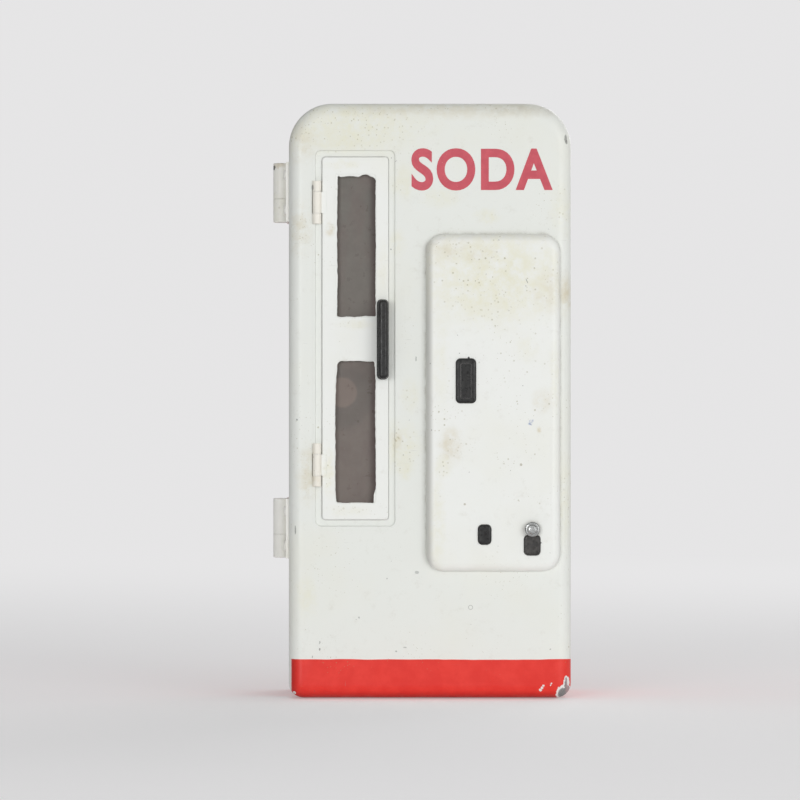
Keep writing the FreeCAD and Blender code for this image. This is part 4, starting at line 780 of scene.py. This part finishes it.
def window_flash(name, low, high, sides, seed):
    """The thin, uneven flash left round a cast window: a ring whose inner edge wanders.

    low and high are the window's corners (x, z); sides are the inner edge's bottom, right, top and left,
    each a polyline that starts where the one before it ends.
    """
    buried, least = 0.06, 0.01
    wander, shiver = 0.045, 0.018
    corners = [(low[0] - buried, low[1] - buried), (high[0] + buried, low[1] - buried),
               (high[0] + buried, high[1] + buried), (low[0] - buried, high[1] + buried)]
    inner, outer = [], []
    for index, side in enumerate(sides):
        count = 60 if index % 2 == 0 else 170
        inner += resampled(side, count)
        outer += resampled([corners[index], corners[(index + 1) % 4]], count)
    smooth = []
    for index in range(len(inner)):
        near = [inner[(index + step) % len(inner)] for step in (-2, -1, 0, 1, 2)]
        x, z = (sum(point[axis] for point in near) / len(near) for axis in (0, 1))
        shake = Vector((x * 1.7, z * 1.7, seed))
        x += wander * noise.noise(shake) + shiver * noise.noise(shake * 3.1)
        z += wander * noise.noise(shake + Vector((9, 0, 0))) + shiver * noise.noise(shake * 3.3)
        x = min(max(x, low[0] + least), high[0] - least)
        z = min(max(z, low[1] + least), high[1] - least)
        smooth.append((x, z))
    front, back, soft = FACE + 0.07, FACE + 0.45, 0.07
    profile = [(1.0, front), (0.5, front + 0.012), (0.12, front + soft * 0.5), (0.0, front + soft * 1.6),
               (0.0, back - soft), (0.2, back), (1.0, back)]
    work = bmesh.new()
    rows = []
    for (in_x, in_z), (out_x, out_z) in zip(smooth, outer):
        rows.append([
            work.verts.new(Vector((in_x + (out_x - in_x) * share, y, in_z + (out_z - in_z) * share)) * MM)
            for share, y in profile
        ])
    skin(work, rows, closed=True)
    add_piece(name, mesh_of(name, work), "bottle_door", "leaf_paint")


window_flash("upper_window_flash", (WINDOW_LEFT, 37.0), (WINDOW_RIGHT, 50.9), [
    [(-9.03, 37.12), (-8.60, 37.02), (-8.1, 37.10), (-7.2, 37.06), (-6.2, 37.16), (-5.25, 37.10)],
    [(-5.25, 37.10), (-5.30, 40.5), (-5.25, 44.0), (-5.30, 47.0), (-5.26, 50.25)],
    [(-5.26, 50.25), (-5.42, 50.55), (-5.85, 50.68), (-6.05, 50.87), (-6.45, 50.86), (-6.85, 50.60),
     (-7.9, 50.72), (-8.6, 50.60), (-8.94, 50.74)],
    [(-8.94, 50.74), (-8.97, 48.0), (-9.0, 44.0), (-8.93, 40.5), (-9.03, 37.12)],
], 1.0)
window_flash("lower_window_flash", (WINDOW_LEFT, 19.0), (WINDOW_RIGHT, 32.8), [
    [(-9.10, 19.10), (-8.2, 19.03), (-7.2, 19.09), (-5.48, 19.03)],
    [(-5.48, 19.03), (-5.44, 20.0), (-5.25, 20.35), (-5.27, 24.0), (-5.33, 28.0), (-5.27, 31.0),
     (-5.40, 32.70)],
    [(-5.40, 32.70), (-6.8, 32.78), (-8.7, 32.77), (-8.98, 32.45)],
    [(-8.98, 32.45), (-9.10, 30.6), (-9.18, 27.5), (-9.14, 23.5), (-9.18, 21.5), (-9.10, 19.10)],
], 4.0)


def rounded_ring_point(low, high, corner, share):
    """A point at a share of the way round a rounded rectangle in the XZ plane."""
    width, height = high[0] - low[0] - 2 * corner, high[1] - low[1] - 2 * corner
    arc = math.pi * corner / 2
    pieces = [width, arc, height, arc, width, arc, height, arc]
    along = share * sum(pieces)
    index = 0
    while along > pieces[index]:
        along -= pieces[index]
        index += 1
    side = index // 2
    centres = [(high[0] - corner, low[1] + corner), (high[0] - corner, high[1] - corner),
               (low[0] + corner, high[1] - corner), (low[0] + corner, low[1] + corner)]
    direction = [(1, 0), (0, 1), (-1, 0), (0, -1)][side]
    outward = [(0, -1), (1, 0), (0, 1), (-1, 0)][side]
    if index % 2 == 0:
        start = centres[side - 1]
        x, z = (start[axis] + direction[axis] * along + outward[axis] * corner for axis in (0, 1))
        return x, z
    turn = along / corner - math.pi / 2 + side * math.pi / 2
    centre = centres[side]
    return centre[0] + corner * math.cos(turn), centre[1] + corner * math.sin(turn)


def door_seal():
    """The pale seal in the gap round the bottle door, just below the face."""
    clear, wide, leaf_corner, count = 0.004, 0.061, 0.33, 720
    front, shoulder, back = FACE + 0.18, FACE + 0.20, FACE + 0.42
    reach = DOOR_GAP - clear
    low = (LEAF_LEFT - reach, LEAF_LOW.z - reach)
    high = (LEAF_HIGH.x + reach, LEAF_HIGH.z + reach)
    corner = leaf_corner + reach
    profile = [(0.0, shoulder), (0.015, front), (0.047, front), (wide, shoulder), (wide, back), (0.0, back)]
    work = bmesh.new()
    rows = []
    for index in range(count):
        row = []
        for inset, y in profile:
            x, z = rounded_ring_point((low[0] + inset, low[1] + inset), (high[0] - inset, high[1] - inset),
                                      corner - inset, index / count)
            row.append(work.verts.new(Vector((x, y, z)) * MM))
        rows.append(row)
    skin(work, rows, closed=True)
    add_piece("bottle_door_seal", mesh_of("bottle_door_seal", work), "front_door", "seal")


def washers(name, body, places, bore, radius):
    """Thin washers in the gaps between the knuckles of hinges, round places in millimetres."""
    thick = KNUCKLE_GAP - 0.006
    half, edge = thick / 2, thick * 0.3
    profile = [(bore, -half), (radius - edge, -half), (radius, -half + edge), (radius, half - edge),
               (radius - edge, half), (bore, half)]
    work = bmesh.new()
    for x, y, z in places:
        skin(work, [circle(work, (x, y, z + rise), reach, 48) for reach, rise in profile], closed=True)
    add_piece(name, mesh_of(name, work), body, "hinge_paint")


def hinge_washers():
    """Washers on all four hinges."""
    small, large = [], []
    half_gap = KNUCKLE_GAP / 2
    for low, high in SMALL_PINS:
        x, y = (low.x + high.x) / 2, (low.y + high.y) / 2
        small += [(x, y, low.z + FIXED_KNUCKLE + half_gap), (x, y, high.z - FIXED_KNUCKLE - half_gap)]
    for low, high in MAIN_PINS:
        large.append(((low.x + high.x) / 2, (low.y + high.y) / 2, high.z - UPPER_KNUCKLE))
    washers("small_hinge_washers", "front_door", small, bore=0.19, radius=0.405)
    washers("main_hinge_washers", "cabinet", large, bore=0.36, radius=0.755)


def cap_centres():
    """The middles (x, z) of the separate solids of the node crown_caps, in order."""
    solids = bmesh.new()
    solids.from_mesh(nodes["crown_caps"].data)
    bmesh.ops.remove_doubles(solids, verts=solids.verts, dist=WELD_DISTANCE)
    centres = []
    left_over = set(solids.verts)
    while left_over:
        stack = [left_over.pop()]
        island = []
        while stack:
            vertex = stack.pop()
            island.append(vertex.co / MM)
            for edge in vertex.link_edges:
                other = edge.other_vert(vertex)
                if other in left_over:
                    left_over.remove(other)
                    stack.append(other)
        centres.append(((min(p.x for p in island) + max(p.x for p in island)) / 2,
                        (min(p.z for p in island) + max(p.z for p in island)) / 2))
    solids.free()
    return sorted(centres)


def crown_caps():
    """Crowns with crimped skirts, one on each bottle of the frame."""
    flutes, around, flute_deep = 21, 84, 0.022
    profile = [(0.30, 0.0, 0.0), (0.42, 0.012, 0.0), (0.475, 0.06, 0.1), (0.50, 0.16, 0.5), (0.53, 0.30, 0.9),
               (0.555, 0.44, 1.0), (0.565, 0.475, 1.0), (0.45, 0.475, 0.6)]
    back = CAPS_FRONT + profile[-1][1]
    work = bmesh.new()
    for x, z in cap_centres():
        turn = noise.noise(Vector((x, z, 3.0))) * 3
        rings = []
        for radius, depth, flute in profile:
            ring = []
            for index in range(around):
                angle = 2 * math.pi * index / around
                reach = radius + flute_deep * flute * math.cos(flutes * angle)
                across, up = reach * math.cos(angle + turn), reach * math.sin(angle + turn)
                ring.append(work.verts.new(Vector((x + across, CAPS_FRONT + depth, z + up)) * MM))
            rings.append(ring)
        fan(work, work.verts.new(Vector((x, CAPS_FRONT, z)) * MM), rings[0])
        skin(work, rings)
        fan(work, work.verts.new(Vector((x, back, z)) * MM), rings[-1][::-1])
    piece = add_piece("crown_cap_crimps", mesh_of("crown_cap_crimps", work), "cabinet", "cap_metal")
    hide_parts("crown_caps")


crown_caps()
door_seal()
hinge_washers()


def lettering(name, text, left_edge, low_edge, width, height):
    """A generic word in thick block letters, as a very thin layer on the door's face."""
    thick, sunk = 0.02, 0.004
    curve = bpy.data.curves.new(name, "FONT")
    curve.body = text
    curve.offset = 0.032
    curve.space_character = 1.12
    curve.extrude = 0.5
    curve.resolution_u = 8
    letters = new_object(name, curve)
    bpy.context.view_layer.update()
    mesh = bpy.data.meshes.new_from_object(letters.evaluated_get(bpy.context.evaluated_depsgraph_get()))
    bpy.data.objects.remove(letters)
    low = [min(vertex.co[axis] for vertex in mesh.vertices) for axis in range(3)]
    high = [max(vertex.co[axis] for vertex in mesh.vertices) for axis in range(3)]
    for vertex in mesh.vertices:
        x, z, y = ((vertex.co[axis] - low[axis]) / (high[axis] - low[axis]) for axis in range(3))
        place = Vector((left_edge + x * width, FACE + sunk - thick * y, low_edge + z * height))
        vertex.co = place * MM
    mesh.name = name
    mesh.materials.clear()
    add_piece(name, mesh, "front_door", "lettering")


lettering("word", "SODA", left_edge=-1.8, low_edge=49.3, width=13.7, height=4.1)


# ------------------------------------------------------------------ softer shading on the frame's meshes

for piece in nodes.values():
    weld = piece.modifiers.new("weld", "WELD")
    weld.merge_threshold = WELD_DISTANCE
    shade_smooth(piece.data)
    split = piece.modifiers.new("crease", "EDGE_SPLIT")
    split.split_angle = math.radians(28)


# ------------------------------------------------------------------ floor, light and camera

PAPER = (0.79, 0.785, 0.79)
SKY = 0.70
SKY_ABOVE = 0.60 * SKY
LEFT_SHARE = 0.30
CAMERA_PLACE = (-0.0029, -0.4562, 0.0290)
LENS = 208


def studio_floor():
    """A wide pale dish that rises far away, so that every view ends on the same pale ground.

    Near the object it is paper that takes shadows; far away it glows evenly, as a lit studio wall does. The
    light that it gives to the object is weaker from the left.
    """
    profile = [(150, 0), (350, 0), (550, 0), (680, 20), (790, 80), (870, 180), (920, 320), (940, 500),
               (950, 750)]
    work = bmesh.new()
    rings = [circle(work, (0, 0, height), radius, 96) for radius, height in profile]
    fan(work, work.verts.new((0, 0, 0)), rings[0])
    skin(work, rings)
    mesh = mesh_of("studio_floor", work, closed=False)
    floor = new_object("studio_floor", mesh)
    shade_smooth(mesh)
    g = Graph("studio_paper")
    paper_radius, glow_radius = 60.0, 420.0
    dim_end, bright_end = -700.0, 250.0
    far = g.step(g.vector("LENGTH", g.point, (0, 0, 0)), paper_radius, glow_radius)
    seen = g.add("ShaderNodeLightPath").outputs["Is Camera Ray"]
    ambient = g.step(g.x, dim_end, bright_end, SKY * LEFT_SHARE, SKY)
    glow = g.blend(seen, ambient, 1.0)
    fibres = g.noise(0.9, 3.0, 0.6, seed=1.0)
    near = g.mix(fibres, tuple(c * 0.97 for c in PAPER), tuple(c * 1.01 for c in PAPER))
    g.set(Base_Color=g.mix(far, near, (0, 0, 0)), Roughness=1.0, Specular_IOR_Level=0.0)
    g.set(Emission_Color=PAPER, Emission_Strength=g.math("MULTIPLY", g.blend(far, 0.30, 1.0), glow))
    mesh.materials.append(g.material)


def lamp(name, place, target, size, power, colour=(1, 1, 1)):
    """A rectangular soft light aimed at a point; places in metres."""
    data = bpy.data.lights.new(name, "AREA")
    data.shape = "RECTANGLE"
    data.size, data.size_y = size
    data.energy = power
    data.color = colour
    light = new_object(name, data)
    light.location = place
    light.rotation_euler = (Vector(target) - Vector(place)).to_track_quat("-Z", "Y").to_euler()


studio_floor()
middle = (0, 0, 0.03)
lamp("key", (0.30, -0.46, 0.06), middle, (0.30, 0.26), 1.10, (1.0, 1.0, 0.99))
lamp("fill", (-0.20, -0.54, 0.05), middle, (0.18, 0.20), 1.20)
lamp("back", (0.20, 0.50, 0.25), middle, (0.35, 0.35), 0.80)

world = bpy.data.worlds.new("studio_world")
bpy.context.scene.world = world
world.use_nodes = True
tree = world.node_tree
sky = tree.nodes["Background"]
seen = tree.nodes.new("ShaderNodeLightPath")
strength = tree.nodes.new("ShaderNodeMapRange")
strength.inputs["To Min"].default_value = SKY_ABOVE
strength.inputs["To Max"].default_value = PAPER[0]
tree.links.new(seen.outputs["Is Camera Ray"], strength.inputs["Value"])
tree.links.new(strength.outputs["Result"], sky.inputs["Strength"])
sky.inputs["Color"].default_value = (0.99, 0.995, 1.0, 1)

camera_data = bpy.data.cameras.new("camera")
camera_data.sensor_width = 36
camera_data.lens = LENS
camera_data.clip_start = 0.01
camera = new_object("camera", camera_data)
camera.location = CAMERA_PLACE
camera.rotation_euler = (math.radians(90), 0, 0)
bpy.context.scene.camera = camera
bpy.context.scene.view_settings.view_transform = "Standard"
